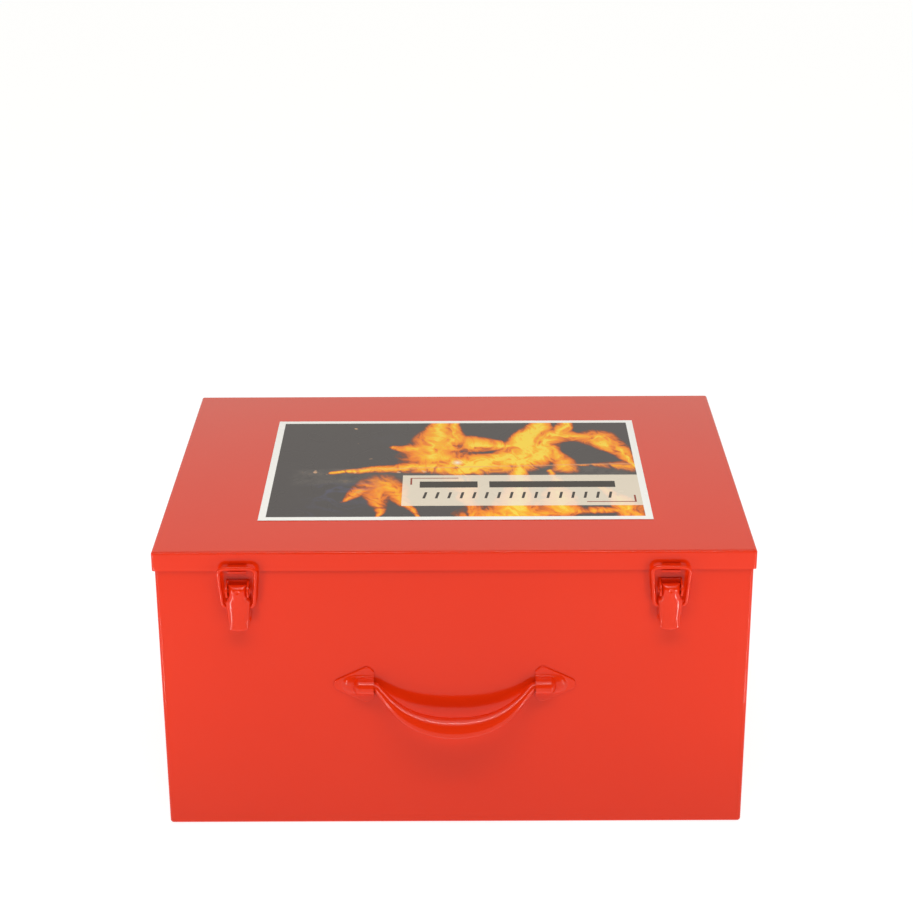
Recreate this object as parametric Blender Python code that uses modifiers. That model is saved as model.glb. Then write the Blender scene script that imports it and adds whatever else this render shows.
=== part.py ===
"""Steel fire-safe case for model battery packs: folded body and lid, rolled hinge, two draw latches,
a stamped carrying handle, slotted lid stays and a fire-board lining.

X runs to the right, -Y to the front and +Z up. The origin is on the floor below the body's centre.
Lengths are in millimetres until MM turns them into metres.
"""
import math

import bmesh
import bpy
from mathutils import Matrix, Vector

MM = 0.001
GAP = 0.3

# Case: the lid's lip overlaps the body all round.
LID_WIDTH = 440.0
LID_DEPTH = 330.0
HEIGHT = 228.0
LIP = 15.0
SHEET = 1.0
LID_OVERHANG = 1.8
LID_BEND = 2.0
BODY_BEND = 2.5
RIM_BELOW_TOP = 7.0
HEM_DEPTH = 8.0
HEM_THICKNESS = 1.2

BODY_X = LID_WIDTH / 2 - LID_OVERHANG
BODY_Y = LID_DEPTH / 2 - LID_OVERHANG
LIP_Z = HEIGHT - LIP
RIM_Z = HEIGHT - RIM_BELOW_TOP
LID_UNDERSIDE = HEIGHT - SHEET

# Hinge: one rolled leaf on each half, a knuckle every KNUCKLE_PITCH.
HINGE_LENGTH = 420.0
KNUCKLE_PITCH = 30.0
KNUCKLE_GAP = 0.4
BARREL_RADIUS = 2.8
LEAF_SHEET = 1.0
ROLL_ANGLE = 300
PIN_RADIUS = 1.5
PIN_HEAD_RADIUS = 2.4
HINGE_Y = LID_DEPTH / 2 + GAP + BARREL_RADIUS
HINGE_Z = LIP_Z
LID_LEAF_TOP = 224.0
BODY_LEAF_FOOT = 196.0
JOGGLE_LOW = 203.0
JOGGLE_HIGH = 207.0

# Latches: u is the distance out from the body's front wall.
LATCH_X = 157.6
LEVER_PIVOT = (6.5, 199.5)
BAIL_PIVOT = (4.6, 186.0)
BAIL_BAR = (7.4, 218.9)
BAIL_WIRE = 1.5
BAIL_TOP_HALF = 13.2
BAIL_FOOT_HALF = 11.6
LATCH_SHEET = 1.2
LEVER_FOOT_Z = 168.4
LEVER_ROUND_Z = 172.0
LEVER_NECK_Z = 194.2
LEVER_SHOULDER_Z = 190.6
LEVER_EDGE = 0.8
LEVER_BLANK_FOOT = 166.0
LEVER_FACE_U = 8.9
DISH_RADIUS = 5.0
DISH_DEPTH = 0.5
LEVER_NECK_HALF = 6.6
LEVER_WIDE_HALF = 8.95
LEVER_FOOT_HALF = 7.4
LEVER_TOP_RADIUS = 4.4
LEVER_PIN_RADIUS = 1.4
EAR_RADIUS = 5.2
EAR_HALF = 8.3
EAR_ROOT_Z = 194.4
BASE_Z = (176.0, 206.0)
PIN_HEAD = 2.4
PIN_HEAD_HEIGHT = 0.8
CUT_CLEAR = 12.0
BAIL_TOP_BEND = 3.2
BAIL_FOOT_BEND = 2.5
CATCH_Z = (213.2, 219.5)
CATCH_REACH = 3.3
CATCH_HALF = 6.85

# Handle and its two brackets.
HANDLE_Z = 119.5
HANDLE_U = 4.8
HANDLE_TILT = 34.5
HANDLE_DROP = 30.75
GRIP_WIDTH = 15.7
GRIP_THICKNESS = 7.6
STUB_RADIUS = 3.4
STUB_END = 70.0
STUB_BEND = 5.0
ARM_SLOPE = 50
HANDLE_SHEET = 1.2
BRACKET_INNER = 59.9
BRACKET_TIP = 90.0
BRACKET_HALF_HEIGHT = 14.6
BOSS_HALF_HEIGHT = 7.3
BOSS_DEPTH = 10.6
BOSS_END = 76.0
RAMP_END = 83.0
RAMP_HALF_HEIGHT = 6.7
RAMP_DEPTH = 5.2
DOME_LENGTH = 5.0
BRACKET_CORNER = 4.0
BRACKET_TIP_RADIUS = 5.0
BRACKET_SHOULDER = 65.4

# Lining of fire board.
BOARD = 12.0
LINER_SIDE_X = 211.0
LINER_SIDE_Y = 160.7
LINER_TOP = 220.0
PLUG_X = 197.0
PLUG_Y = (-146.5, 147.0)
SEAL_BOTTOM = 220.4
SEAL_OUTER = (210.5, 159.5)
SEAL_INNER = (199.0, 148.5)

# Lid stays: rivet and stud sit on one circle round the hinge, so a stay turns half as far as the lid.
STAY_CIRCLE = 90.0
STAY_RIVET_ANGLE = 5
STAY_STUD_ANGLE = 38
STAY_REACH = 176.0
STAY_HALF_WIDTH = 7.0
STAY_SLOT_HALF = 2.8
STAY_SLOT = (50.3, 168.4)
STAY_X = (213.4, 214.6)
STUD_RADIUS = 2.5
RIVET_RADIUS = 2.0
BRACKET_FLANGE_X = (211.9, 213.1)
BRACKET_WING_HALF = 10.0
RIVET_X = (211.3, 215.7)
STUD_X = (212.1, 216.9)

# Label: an A4 print, stuck on by hand a little off the lid's centre.
LABEL_SIZE = (297.0, 210.0)
LABEL_CENTRE = (1.1, -3.0)
LABEL_GAP = 0.2
LABEL_THICKNESS = 0.25

for leftover in list(bpy.data.objects):
    bpy.data.objects.remove(leftover, do_unlink=True)

PARTS = bpy.data.collections.new("battery_safe_case")
CUTTERS = bpy.data.collections.new("cutters")
bpy.context.scene.collection.children.link(PARTS)
bpy.context.scene.collection.children.link(CUTTERS)


def finish_material(name, colour, roughness, metallic):
    """Make a Principled material."""
    material = bpy.data.materials.new(name)
    material.use_nodes = True
    shader = material.node_tree.nodes["Principled BSDF"]
    shader.inputs["Base Color"].default_value = (*colour, 1)
    shader.inputs["Roughness"].default_value = roughness
    shader.inputs["Metallic"].default_value = metallic
    return material


RED_PAINT = finish_material("red_paint", (0.79, 0.045, 0.022), 0.3, 0.0)
BARE_STEEL = finish_material("zinc_steel", (0.55, 0.55, 0.54), 0.35, 1.0)
FIRE_BOARD = finish_material("fire_board", (0.68, 0.66, 0.61), 0.9, 0.0)
FELT = finish_material("ceramic_felt", (0.82, 0.81, 0.78), 0.95, 0.0)
PRINT = finish_material("printed_film", (0.12, 0.07, 0.04), 0.35, 0.0)


def mesh_object(name, bm, collection):
    """Put a bmesh drawn in millimetres into a new object in metres, faces pointing outwards."""
    bmesh.ops.recalc_face_normals(bm, faces=bm.faces)
    bmesh.ops.transform(bm, matrix=Matrix.Scale(MM, 4), verts=bm.verts)
    mesh = bpy.data.meshes.new(name)
    bm.to_mesh(mesh)
    bm.free()
    made = bpy.data.objects.new(name, mesh)
    collection.objects.link(made)
    return made


def evaluated_bmesh(source, matrix=None):
    """Take the object's evaluated shape as a welded bmesh, placed by the matrix, and remove the object."""
    graph = bpy.context.evaluated_depsgraph_get()
    mesh = bpy.data.meshes.new_from_object(source.evaluated_get(graph))
    bm = bmesh.new()
    bm.from_mesh(mesh)
    bmesh.ops.remove_doubles(bm, verts=bm.verts, dist=0.001)
    if matrix:
        bmesh.ops.transform(bm, matrix=matrix, verts=bm.verts)
    bpy.data.objects.remove(source, do_unlink=True)
    bpy.data.meshes.remove(mesh)
    return bm


def block(name, xs, ys, zs):
    """A box between two corners."""
    bm = bmesh.new()
    size = Vector((xs[1] - xs[0], ys[1] - ys[0], zs[1] - zs[0]))
    centre = Vector((xs[1] + xs[0], ys[1] + ys[0], zs[1] + zs[0])) / 2
    bmesh.ops.create_cube(bm, size=1, matrix=Matrix.LocRotScale(centre, None, size))
    return mesh_object(name, bm, PARTS)


def drum_x(name, xs, y, z, radius, sides=16):
    """A cylinder along X."""
    bm = bmesh.new()
    turn = Matrix.Rotation(math.pi / 2, 4, "Y")
    place = Matrix.Translation(((xs[0] + xs[1]) / 2, y, z)) @ turn
    bmesh.ops.create_cone(bm, cap_ends=True, segments=sides, radius1=radius, radius2=radius,
                          depth=xs[1] - xs[0], matrix=place)
    return mesh_object(name, bm, PARTS)


# The planes that outlines are drawn in: X carries (y, z), Y carries (x, z) and Z carries (x, y).
PLANES = {
    "X": Matrix(((0, 0, 1, 0), (1, 0, 0, 0), (0, 1, 0, 0), (0, 0, 0, 1))),
    "Y": Matrix(((1, 0, 0, 0), (0, 0, -1, 0), (0, 1, 0, 0), (0, 0, 0, 1))),
    "Z": Matrix.Identity(4),
}


def ball(name, centre, radius):
    """A sphere."""
    bm = bmesh.new()
    place = Matrix.Translation(centre)
    bmesh.ops.create_uvsphere(bm, u_segments=16, v_segments=12, radius=radius, matrix=place)
    return mesh_object(name, bm, PARTS)


def prism(name, outline, axis, low, high, holes=()):
    """A flat outline, with holes if any, extruded along an axis from low to high."""
    curve = bpy.data.curves.new(name, "CURVE")
    curve.dimensions = "2D"
    curve.fill_mode = "BOTH"
    curve.extrude = (high - low) / 2
    for loop in (outline, *holes):
        spline = curve.splines.new("POLY")
        spline.points.add(len(loop) - 1)
        for point, (a, b) in zip(spline.points, loop):
            point.co = (a, b, 0, 1)
        spline.use_cyclic_u = True
    source = bpy.data.objects.new(name + "_curve", curve)
    PARTS.objects.link(source)
    middle = (high + low) / 2
    offset = -middle if axis == "Y" else middle
    bm = evaluated_bmesh(source, PLANES[axis] @ Matrix.Translation((0, 0, offset)))
    return mesh_object(name, bm, PARTS)


def turned_x(name, profile, centre, squash=1.0, sides=20):
    """A profile of (x, radius) points turned round an axis along X, squashed along Y if asked."""
    mesh = bpy.data.meshes.new(name)
    if profile[0][0] < profile[-1][0]:
        profile = profile[::-1]
    points = [(radius, 0, x) for x, radius in profile]
    mesh.from_pydata(points, [(i, i + 1) for i in range(len(points) - 1)], [])
    source = bpy.data.objects.new(name + "_profile", mesh)
    PARTS.objects.link(source)
    screw = source.modifiers.new("turn", "SCREW")
    screw.steps = sides
    screw.render_steps = sides
    screw.use_merge_vertices = True
    screw.merge_threshold = 0.0001
    turn = Matrix.Rotation(math.pi / 2, 4, "Y")
    stretch = Matrix.Diagonal((1, squash, 1, 1))
    bm = evaluated_bmesh(source, Matrix.Translation(centre) @ stretch @ turn)
    return mesh_object(name, bm, PARTS)


def headed_pin(half_length, radius, head_radius, head_height):
    """Half section of a pin with a domed head on each end."""
    end = half_length + head_height
    edge = half_length + 0.4 * head_height
    half = [(-end, 0), (-end, 0.75 * head_radius), (-edge, head_radius), (-half_length, head_radius),
            (-half_length, radius)]
    return half + [(-x, r) for x, r in reversed(half)]


def tool(target, other, operation):
    """Join or cut a part with another shape, which moves to the cutters."""
    modifier = target.modifiers.new(other.name, "BOOLEAN")
    modifier.operation = operation
    modifier.solver = "EXACT"
    modifier.object = other
    for home in other.users_collection:
        home.objects.unlink(other)
    CUTTERS.objects.link(other)
    other.hide_render = True
    other.display_type = "WIRE"


def join(target, other):
    tool(target, other, "UNION")


def cut(target, other):
    tool(target, other, "DIFFERENCE")


def keep_inside(target, other):
    tool(target, other, "INTERSECT")


def paint(part, material):
    part.data.materials.clear()
    part.data.materials.append(material)
    for face in part.data.polygons:
        face.material_index = 0


def hang_on(part, x, y, z):
    """Move a part's origin onto its joint's axis without moving its shape."""
    pivot = Vector((x, y, z)) * MM
    part.data.transform(Matrix.Translation(-pivot))
    part.location = pivot


def round_off(part, width, segments=2, angle=35):
    """Round a part's sharp edges."""
    bevel = part.modifiers.new("round", "BEVEL")
    bevel.width = width * MM
    bevel.segments = segments
    bevel.limit_method = "ANGLE"
    bevel.angle_limit = math.radians(angle)
    bevel.use_clamp_overlap = True


def smooth(part, angle=30):
    part.data.shade_smooth()
    part.data.set_sharp_from_angle(angle=math.radians(angle))


def arc(centre, radius, start, end, steps):
    """Points on an arc between two angles in degrees."""
    turn = [math.radians(start + (end - start) * i / steps) for i in range(steps + 1)]
    return [(centre[0] + radius * math.cos(a), centre[1] + radius * math.sin(a)) for a in turn]


def tray(name, half_x, half_y, floor_z, rim_z, bend, corner_steps=3):
    """A folded sheet box, open at rim_z, with bent edges."""
    bm = bmesh.new()
    centre = Vector((0, 0, (floor_z + rim_z) / 2))
    size = Vector((2 * half_x, 2 * half_y, abs(rim_z - floor_z)))
    bmesh.ops.create_cube(bm, size=1, matrix=Matrix.LocRotScale(centre, None, size))
    middle = (floor_z + rim_z) / 2
    up = 1 if rim_z > floor_z else -1
    open_face = [f for f in bm.faces if (f.calc_center_median().z - middle) * up > 1]
    bmesh.ops.delete(bm, geom=open_face, context="FACES")
    bends = [e for e in bm.edges if not e.is_boundary]
    bmesh.ops.bevel(bm, geom=bends, offset=bend, segments=corner_steps, profile=0.5, affect="EDGES")
    made = mesh_object(name, bm, PARTS)
    wall = made.modifiers.new("sheet", "SOLIDIFY")
    wall.thickness = SHEET * MM
    wall.offset = -1
    wall.use_even_offset = True
    return made


def rounded_rectangle(half_x, half_y, radius, steps=3):
    points = []
    for sx, sy, start in ((1, 1, 0), (-1, 1, 90), (-1, -1, 180), (1, -1, 270)):
        corner = (sx * (half_x - radius), sy * (half_y - radius))
        points += arc(corner, radius, start, start + 90, steps)
    return points


def stadium(start, end, radius, steps=6):
    """A round-ended bar from start to end."""
    lean = math.degrees(math.atan2(end[1] - start[1], end[0] - start[0]))
    return arc(end, radius, lean - 90, lean + 90, steps) + arc(start, radius, lean + 90, lean + 270, steps)


# ---------------------------------------------------------------- body and lid

def make_body_shell():
    body = tray("body_shell", BODY_X, BODY_Y, 0, RIM_Z, BODY_BEND)
    half_wall = SHEET / 2
    hem = prism("rim_hem",
                rounded_rectangle(BODY_X - half_wall, BODY_Y - half_wall, BODY_BEND - half_wall), "Z",
                RIM_Z - HEM_DEPTH, RIM_Z,
                [rounded_rectangle(BODY_X - SHEET - HEM_THICKNESS, BODY_Y - SHEET - HEM_THICKNESS, 0.6)])
    join(body, hem)
    paint(body, RED_PAINT)


def make_lid_shell():
    lid = tray("lid_shell", LID_WIDTH / 2, LID_DEPTH / 2, HEIGHT, LIP_Z, LID_BEND)
    hang_on(lid, 0, HINGE_Y, HINGE_Z)
    paint(lid, RED_PAINT)


def make_label():
    half_x = LABEL_SIZE[0] / 2
    half_y = LABEL_SIZE[1] / 2
    x, y = LABEL_CENTRE
    low = HEIGHT + LABEL_GAP
    label = block("label", (x - half_x, x + half_x), (y - half_y, y + half_y), (low, low + LABEL_THICKNESS))
    hang_on(label, 0, HINGE_Y, HINGE_Z)
    paint(label, PRINT)


# ---------------------------------------------------------------- hinge

def knuckle_notches(name, first, z_low, z_high):
    """Boxes that clear every other knuckle along the barrel."""
    bm = bmesh.new()
    count = round(HINGE_LENGTH / KNUCKLE_PITCH)
    for index in range(first, count, 2):
        x = -HINGE_LENGTH / 2 + (index + 0.5) * KNUCKLE_PITCH
        centre = Vector((x, HINGE_Y, (z_low + z_high) / 2))
        size = Vector((KNUCKLE_PITCH + KNUCKLE_GAP, 4 * BARREL_RADIUS, z_high - z_low))
        bmesh.ops.create_cube(bm, size=1, matrix=Matrix.LocRotScale(centre, None, size))
    return mesh_object(name, bm, PARTS)


def rolled_leaf(name, strip_outer, strip_inner, way):
    """A hinge leaf: a strip of sheet that ends in a roll round the pin.

    way is 1 for a leaf that comes down from above, and -1 for one that comes up from below.
    """
    barrel = (HINGE_Y, HINGE_Z)
    inner_radius = BARREL_RADIUS - LEAF_SHEET
    outer_roll = arc(barrel, BARREL_RADIUS, 180, 180 + way * ROLL_ANGLE, 14)
    inner_roll = arc(barrel, inner_radius, 180 + way * ROLL_ANGLE, 180, 14)
    outline = strip_outer + outer_roll + inner_roll + strip_inner
    return prism(name, outline, "X", -HINGE_LENGTH / 2, HINGE_LENGTH / 2)


def make_hinge():
    reach = BARREL_RADIUS + GAP + 0.3
    near = HINGE_Y - BARREL_RADIUS
    far = near + LEAF_SHEET

    lid_leaf = rolled_leaf("lid_hinge_leaf", [(near, LID_LEAF_TOP)], [(far, LID_LEAF_TOP)], 1)
    cut(lid_leaf, knuckle_notches("lid_leaf_notches", 0, HINGE_Z - 2 * BARREL_RADIUS, HINGE_Z + reach))
    hang_on(lid_leaf, 0, HINGE_Y, HINGE_Z)
    paint(lid_leaf, RED_PAINT)

    foot = BODY_Y + GAP
    outer = [(foot, BODY_LEAF_FOOT), (foot, JOGGLE_LOW), (near, JOGGLE_HIGH)]
    inner = [(far, JOGGLE_HIGH), (foot + LEAF_SHEET, JOGGLE_LOW), (foot + LEAF_SHEET, BODY_LEAF_FOOT)]
    body_leaf = rolled_leaf("body_hinge_leaf", outer, inner, -1)
    cut(body_leaf, knuckle_notches("body_leaf_notches", 1, HINGE_Z - reach, HINGE_Z + 2 * BARREL_RADIUS))
    paint(body_leaf, RED_PAINT)

    end = HINGE_LENGTH / 2 + GAP
    pin = turned_x("hinge_pin", headed_pin(end, PIN_RADIUS, PIN_HEAD_RADIUS, PIN_HEAD_HEIGHT),
                   (0, HINGE_Y, HINGE_Z), sides=16)
    smooth(pin)
    paint(pin, BARE_STEEL)


# ---------------------------------------------------------------- latches

def front(u):
    """The Y of a point u in front of the body's front wall."""
    return -(BODY_Y + u)


def side_view(points):
    """Outline points given as (u, z), turned into (y, z)."""
    return [(front(u), z) for u, z in points]


def make_latch_base(tag, x):
    pivot_u, pivot_z = LEVER_PIVOT
    plate = GAP + LATCH_SHEET
    outline = [(GAP, BASE_Z[0]), (plate, BASE_Z[0]), (plate, EAR_ROOT_Z)]
    outline += arc(LEVER_PIVOT, EAR_RADIUS, -90, 90, 8)
    outline += [(plate, BASE_Z[1]), (GAP, BASE_Z[1])]
    base = prism("latch_base_" + tag, side_view(outline), "X", x - EAR_HALF, x + EAR_HALF)
    inside = EAR_HALF - LATCH_SHEET
    beyond = (BASE_Z[0] - GAP, BASE_Z[1] + GAP)
    cut(base, block("channel_" + tag, (x - inside, x + inside), (front(CUT_CLEAR), front(plate)), beyond))
    cut(base, drum_x("ear_hole_" + tag, (x - CUT_CLEAR, x + CUT_CLEAR), front(pivot_u), pivot_z,
                     LEVER_PIN_RADIUS + GAP))
    paint(base, RED_PAINT)

    end = EAR_HALF + GAP
    profile = headed_pin(end, LEVER_PIN_RADIUS, PIN_HEAD, PIN_HEAD_HEIGHT)
    pin = turned_x("latch_pin_" + tag, profile, (x, front(pivot_u), pivot_z), sides=14)
    smooth(pin)
    paint(pin, RED_PAINT)


def lever_front(x, inset):
    """Front view of the lever: a narrow neck that widens below the ears and tapers to a round foot."""
    neck = LEVER_NECK_HALF - inset
    wide = LEVER_WIDE_HALF - inset
    foot = LEVER_FOOT_HALF - inset
    right = [(neck, BASE_Z[1]), (neck, LEVER_NECK_Z), (wide, LEVER_SHOULDER_Z),
             (wide - 0.15, LEVER_SHOULDER_Z - 3.6), (foot, LEVER_ROUND_Z)]
    round_depth = LEVER_ROUND_Z - LEVER_FOOT_Z
    turns = (0.35, 0.75, 1.15, math.pi / 2)
    half = right + [(foot * math.cos(a), LEVER_ROUND_Z - round_depth * math.sin(a)) for a in turns]
    return [(x + a, b) for a, b in half] + [(x - a, b) for a, b in reversed(half[:-1])]


def lever_side(radius, face_shift):
    """Side view of the lever: a head rolled over the pin, and a face that runs down to the foot."""
    pivot_u, pivot_z = LEVER_PIVOT
    head = arc(LEVER_PIVOT, radius, 180, 0, 10)
    face = [(pivot_u + radius - 0.9, BAIL_PIVOT[1]), (LEVER_FACE_U - face_shift, LEVER_ROUND_Z + 2)]
    return head + face + [(LEVER_FACE_U - 0.3 - face_shift, LEVER_BLANK_FOOT)]


def make_lever(tag, x):
    pivot_u, pivot_z = LEVER_PIVOT
    back = pivot_u - LEVER_TOP_RADIUS
    blank = (x - LEVER_WIDE_HALF - 1, x + LEVER_WIDE_HALF + 1)
    outline = lever_side(LEVER_TOP_RADIUS, 0)
    outline += [(LEVER_FACE_U - 2, LEVER_BLANK_FOOT), (LEVER_FACE_U - 2, LEVER_FOOT_Z + 1.1), (back, 180)]
    lever = prism("latch_lever_" + tag, side_view(outline), "X", *blank)
    keep_inside(lever, prism("lever_front_" + tag, lever_front(x, 0), "Y", front(CUT_CLEAR), front(0)))
    round_off(lever, LEVER_EDGE, 2, 50)
    dish_u = pivot_u + LEVER_TOP_RADIUS - DISH_DEPTH + DISH_RADIUS
    cut(lever, ball("lever_dish_" + tag, (x, front(dish_u), pivot_z + 0.5), DISH_RADIUS))
    hollow = lever_side(LEVER_TOP_RADIUS - LATCH_SHEET, LATCH_SHEET)
    hollow += [(-GAP, LEVER_BLANK_FOOT), (-GAP, pivot_z)]
    inside = prism("lever_hollow_" + tag, side_view(hollow), "X", *blank)
    keep_inside(inside, prism("lever_inside_" + tag, lever_front(x, LATCH_SHEET), "Y",
                              front(CUT_CLEAR), front(-1)))
    cut(lever, inside)
    cut(lever, drum_x("lever_hole_" + tag, (x - CUT_CLEAR, x + CUT_CLEAR), front(pivot_u), pivot_z,
                      LEVER_PIN_RADIUS + GAP))
    cut(lever, drum_x("bail_hole_" + tag, (x - CUT_CLEAR, x + CUT_CLEAR), front(BAIL_PIVOT[0]), BAIL_PIVOT[1],
                      BAIL_WIRE + GAP))
    hang_on(lever, x, front(pivot_u), pivot_z)
    paint(lever, RED_PAINT)


def make_bail(tag, x):
    """A closed wire loop: bottom bar through the lever's cheeks, top bar over the catch."""
    height = math.dist(BAIL_PIVOT, BAIL_BAR)
    lean = math.atan2(BAIL_BAR[0] - BAIL_PIVOT[0], BAIL_BAR[1] - BAIL_PIVOT[1])
    half = arc((BAIL_TOP_HALF - BAIL_TOP_BEND, height - BAIL_TOP_BEND), BAIL_TOP_BEND, 90, 0, 5)
    half += arc((BAIL_FOOT_HALF - BAIL_FOOT_BEND, BAIL_FOOT_BEND), BAIL_FOOT_BEND, 0, -90, 4)
    loop = half + [(-a, b) for a, b in reversed(half)]
    curve = bpy.data.curves.new("bail_" + tag, "CURVE")
    curve.dimensions = "3D"
    curve.bevel_depth = BAIL_WIRE
    curve.bevel_resolution = 2
    spline = curve.splines.new("POLY")
    spline.points.add(len(loop) - 1)
    for point, (a, b) in zip(spline.points, loop):
        u = BAIL_PIVOT[0] + b * math.sin(lean)
        z = BAIL_PIVOT[1] + b * math.cos(lean)
        point.co = (x + a, front(u), z, 1)
    spline.use_cyclic_u = True
    source = bpy.data.objects.new("bail_curve_" + tag, curve)
    PARTS.objects.link(source)
    bail = mesh_object("latch_bail_" + tag, evaluated_bmesh(source), PARTS)
    hang_on(bail, x, front(BAIL_PIVOT[0]), BAIL_PIVOT[1])
    smooth(bail, 50)
    paint(bail, RED_PAINT)


def make_catch(tag, x):
    """J-shaped catch on the lid's lip, its nose just behind the bail's bar."""
    back = LID_OVERHANG + GAP
    low, high = CATCH_Z
    nose_u = back + CATCH_REACH
    bend = low + LATCH_SHEET
    outline = [(back, high), (back, low)]
    outline += arc((nose_u - LATCH_SHEET, bend), LATCH_SHEET, -90, 0, 4)
    outline += [(nose_u, bend + 0.8), (nose_u - 0.9, bend + 0.8), (nose_u - 1.2, bend + 0.1)]
    outline += [(back + LATCH_SHEET, bend + 0.5), (back + LATCH_SHEET, high)]
    catch = prism("catch_" + tag, side_view(outline), "X", x - CATCH_HALF, x + CATCH_HALF)
    hang_on(catch, 0, HINGE_Y, HINGE_Z)
    paint(catch, RED_PAINT)


# ---------------------------------------------------------------- handle

def bracket_outline(side):
    """A triangle lying on its side, its three corners rounded."""
    tip_x = BRACKET_TIP - BRACKET_TIP_RADIUS
    rise = BRACKET_HALF_HEIGHT - BRACKET_TIP_RADIUS
    slope = math.degrees(math.atan2(rise, tip_x - BRACKET_SHOULDER))
    corner = (BRACKET_SHOULDER, HANDLE_Z + BRACKET_HALF_HEIGHT - BRACKET_CORNER)
    chamfer = BRACKET_CORNER * math.sin(math.radians(45))
    meets_inner = BRACKET_SHOULDER - chamfer - BRACKET_INNER
    upper = [(BRACKET_INNER, corner[1] + chamfer - meets_inner)]
    upper += arc(corner, BRACKET_CORNER, 135, 90 - slope, 4)
    tip = arc((tip_x, HANDLE_Z), BRACKET_TIP_RADIUS, 90 - slope, slope - 90, 6)
    lower = [(a, 2 * HANDLE_Z - b) for a, b in reversed(upper)]
    return [(side * a, b) for a, b in upper + tip + lower]


def boss(name, side, start, radius, far_end, depth, dome=DOME_LENGTH):
    """A round-ended boss lying along X on the front wall, its middle line on the wall's face."""
    shoulder = far_end - dome
    turns = [math.radians(90 * i / 5) for i in range(5)]
    profile = [(start, 0), (start, radius)]
    profile += [(shoulder + dome * math.sin(a), radius * math.cos(a)) for a in turns]
    profile += [(far_end, 0)]
    return turned_x(name, [(side * px, r) for px, r in profile], (0, front(0), HANDLE_Z), depth / radius, 24)


def make_bracket(tag, side):
    """A pressed plate whose boss takes the handle's stub; a lower ramp runs on from the boss to the tip."""
    wall = HANDLE_SHEET
    bracket = prism("handle_bracket_" + tag, bracket_outline(side), "Y", front(GAP + wall), front(GAP))
    join(bracket, boss("boss_" + tag, side, BRACKET_INNER, BOSS_HALF_HEIGHT, BOSS_END, BOSS_DEPTH))
    join(bracket, boss("ramp_" + tag, side, BRACKET_INNER + 2, RAMP_HALF_HEIGHT, RAMP_END, RAMP_DEPTH,
                       RAMP_END - BOSS_END + 3))
    mouth = BRACKET_INNER - 3
    cut(bracket, boss("boss_inside_" + tag, side, mouth, BOSS_HALF_HEIGHT - wall, BOSS_END - wall,
                      BOSS_DEPTH - wall, DOME_LENGTH - wall))
    cut(bracket, boss("ramp_inside_" + tag, side, mouth, RAMP_HALF_HEIGHT - wall, RAMP_END - 1.5 * wall,
                      RAMP_DEPTH - wall, RAMP_END - BOSS_END + 3 - 1.5 * wall))
    span = sorted((side * mouth, side * (BRACKET_TIP + 3)))
    height = (HANDLE_Z - BRACKET_HALF_HEIGHT - 3, HANDLE_Z + BRACKET_HALF_HEIGHT + 3)
    cut(bracket, block("bracket_back_" + tag, span, (front(GAP), front(-CUT_CLEAR)), height))
    paint(bracket, RED_PAINT)


def handle_stations():
    """Half the handle's centre line, from the stub's end to the middle of the grip.

    Each station is a place (across, down), a direction and the swell from 0 at the stub to 1 at the grip.
    The stub is straight, then it bends out of the bracket's mouth, and a long curve runs to the grip.
    """
    bend_start = BRACKET_INNER + 0.7
    stations = [(Vector((STUB_END, 0)), Vector((-1, 0)), 0)]
    for part in range(3):
        a = math.radians(ARM_SLOPE * part / 3)
        place = Vector((bend_start - STUB_BEND * math.sin(a), STUB_BEND * (1 - math.cos(a))))
        stations.append((place, Vector((-math.cos(a), math.sin(a))), 0))
    a = math.radians(ARM_SLOPE)
    slope = Vector((-math.cos(a), math.sin(a)))
    start = Vector((bend_start - STUB_BEND * math.sin(a), STUB_BEND * (1 - math.cos(a))))
    points = (start, start + 17 * slope, Vector((33.0, HANDLE_DROP)), Vector((0, HANDLE_DROP)))
    steps = 9
    for i in range(steps + 1):
        t = i / steps
        s = 1 - t
        place = s ** 3 * points[0] + 3 * t * s * s * points[1] + 3 * t * t * s * points[2] + t ** 3 * points[3]
        first, second, third = (b - a for a, b in zip(points, points[1:]))
        ahead = s * s * first + 2 * t * s * second + t * t * third
        stations.append((place, ahead.normalized(), t * t * (3 - 2 * t)))
    return stations


def handle_section(width, thickness, opening, steps=8):
    """A C-shaped section of sheet, open at the back by the given half angle: (across, out) points."""
    outer = []
    inner = []
    for i in range(steps + 1):
        a = math.radians(-180 + opening + (360 - 2 * opening) * i / steps)
        outer.append((width / 2 * math.sin(a), thickness / 2 * math.cos(a)))
        inner.append(((width / 2 - HANDLE_SHEET) * math.sin(a), (thickness / 2 - HANDLE_SHEET) * math.cos(a)))
    return outer + inner[::-1]


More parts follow.
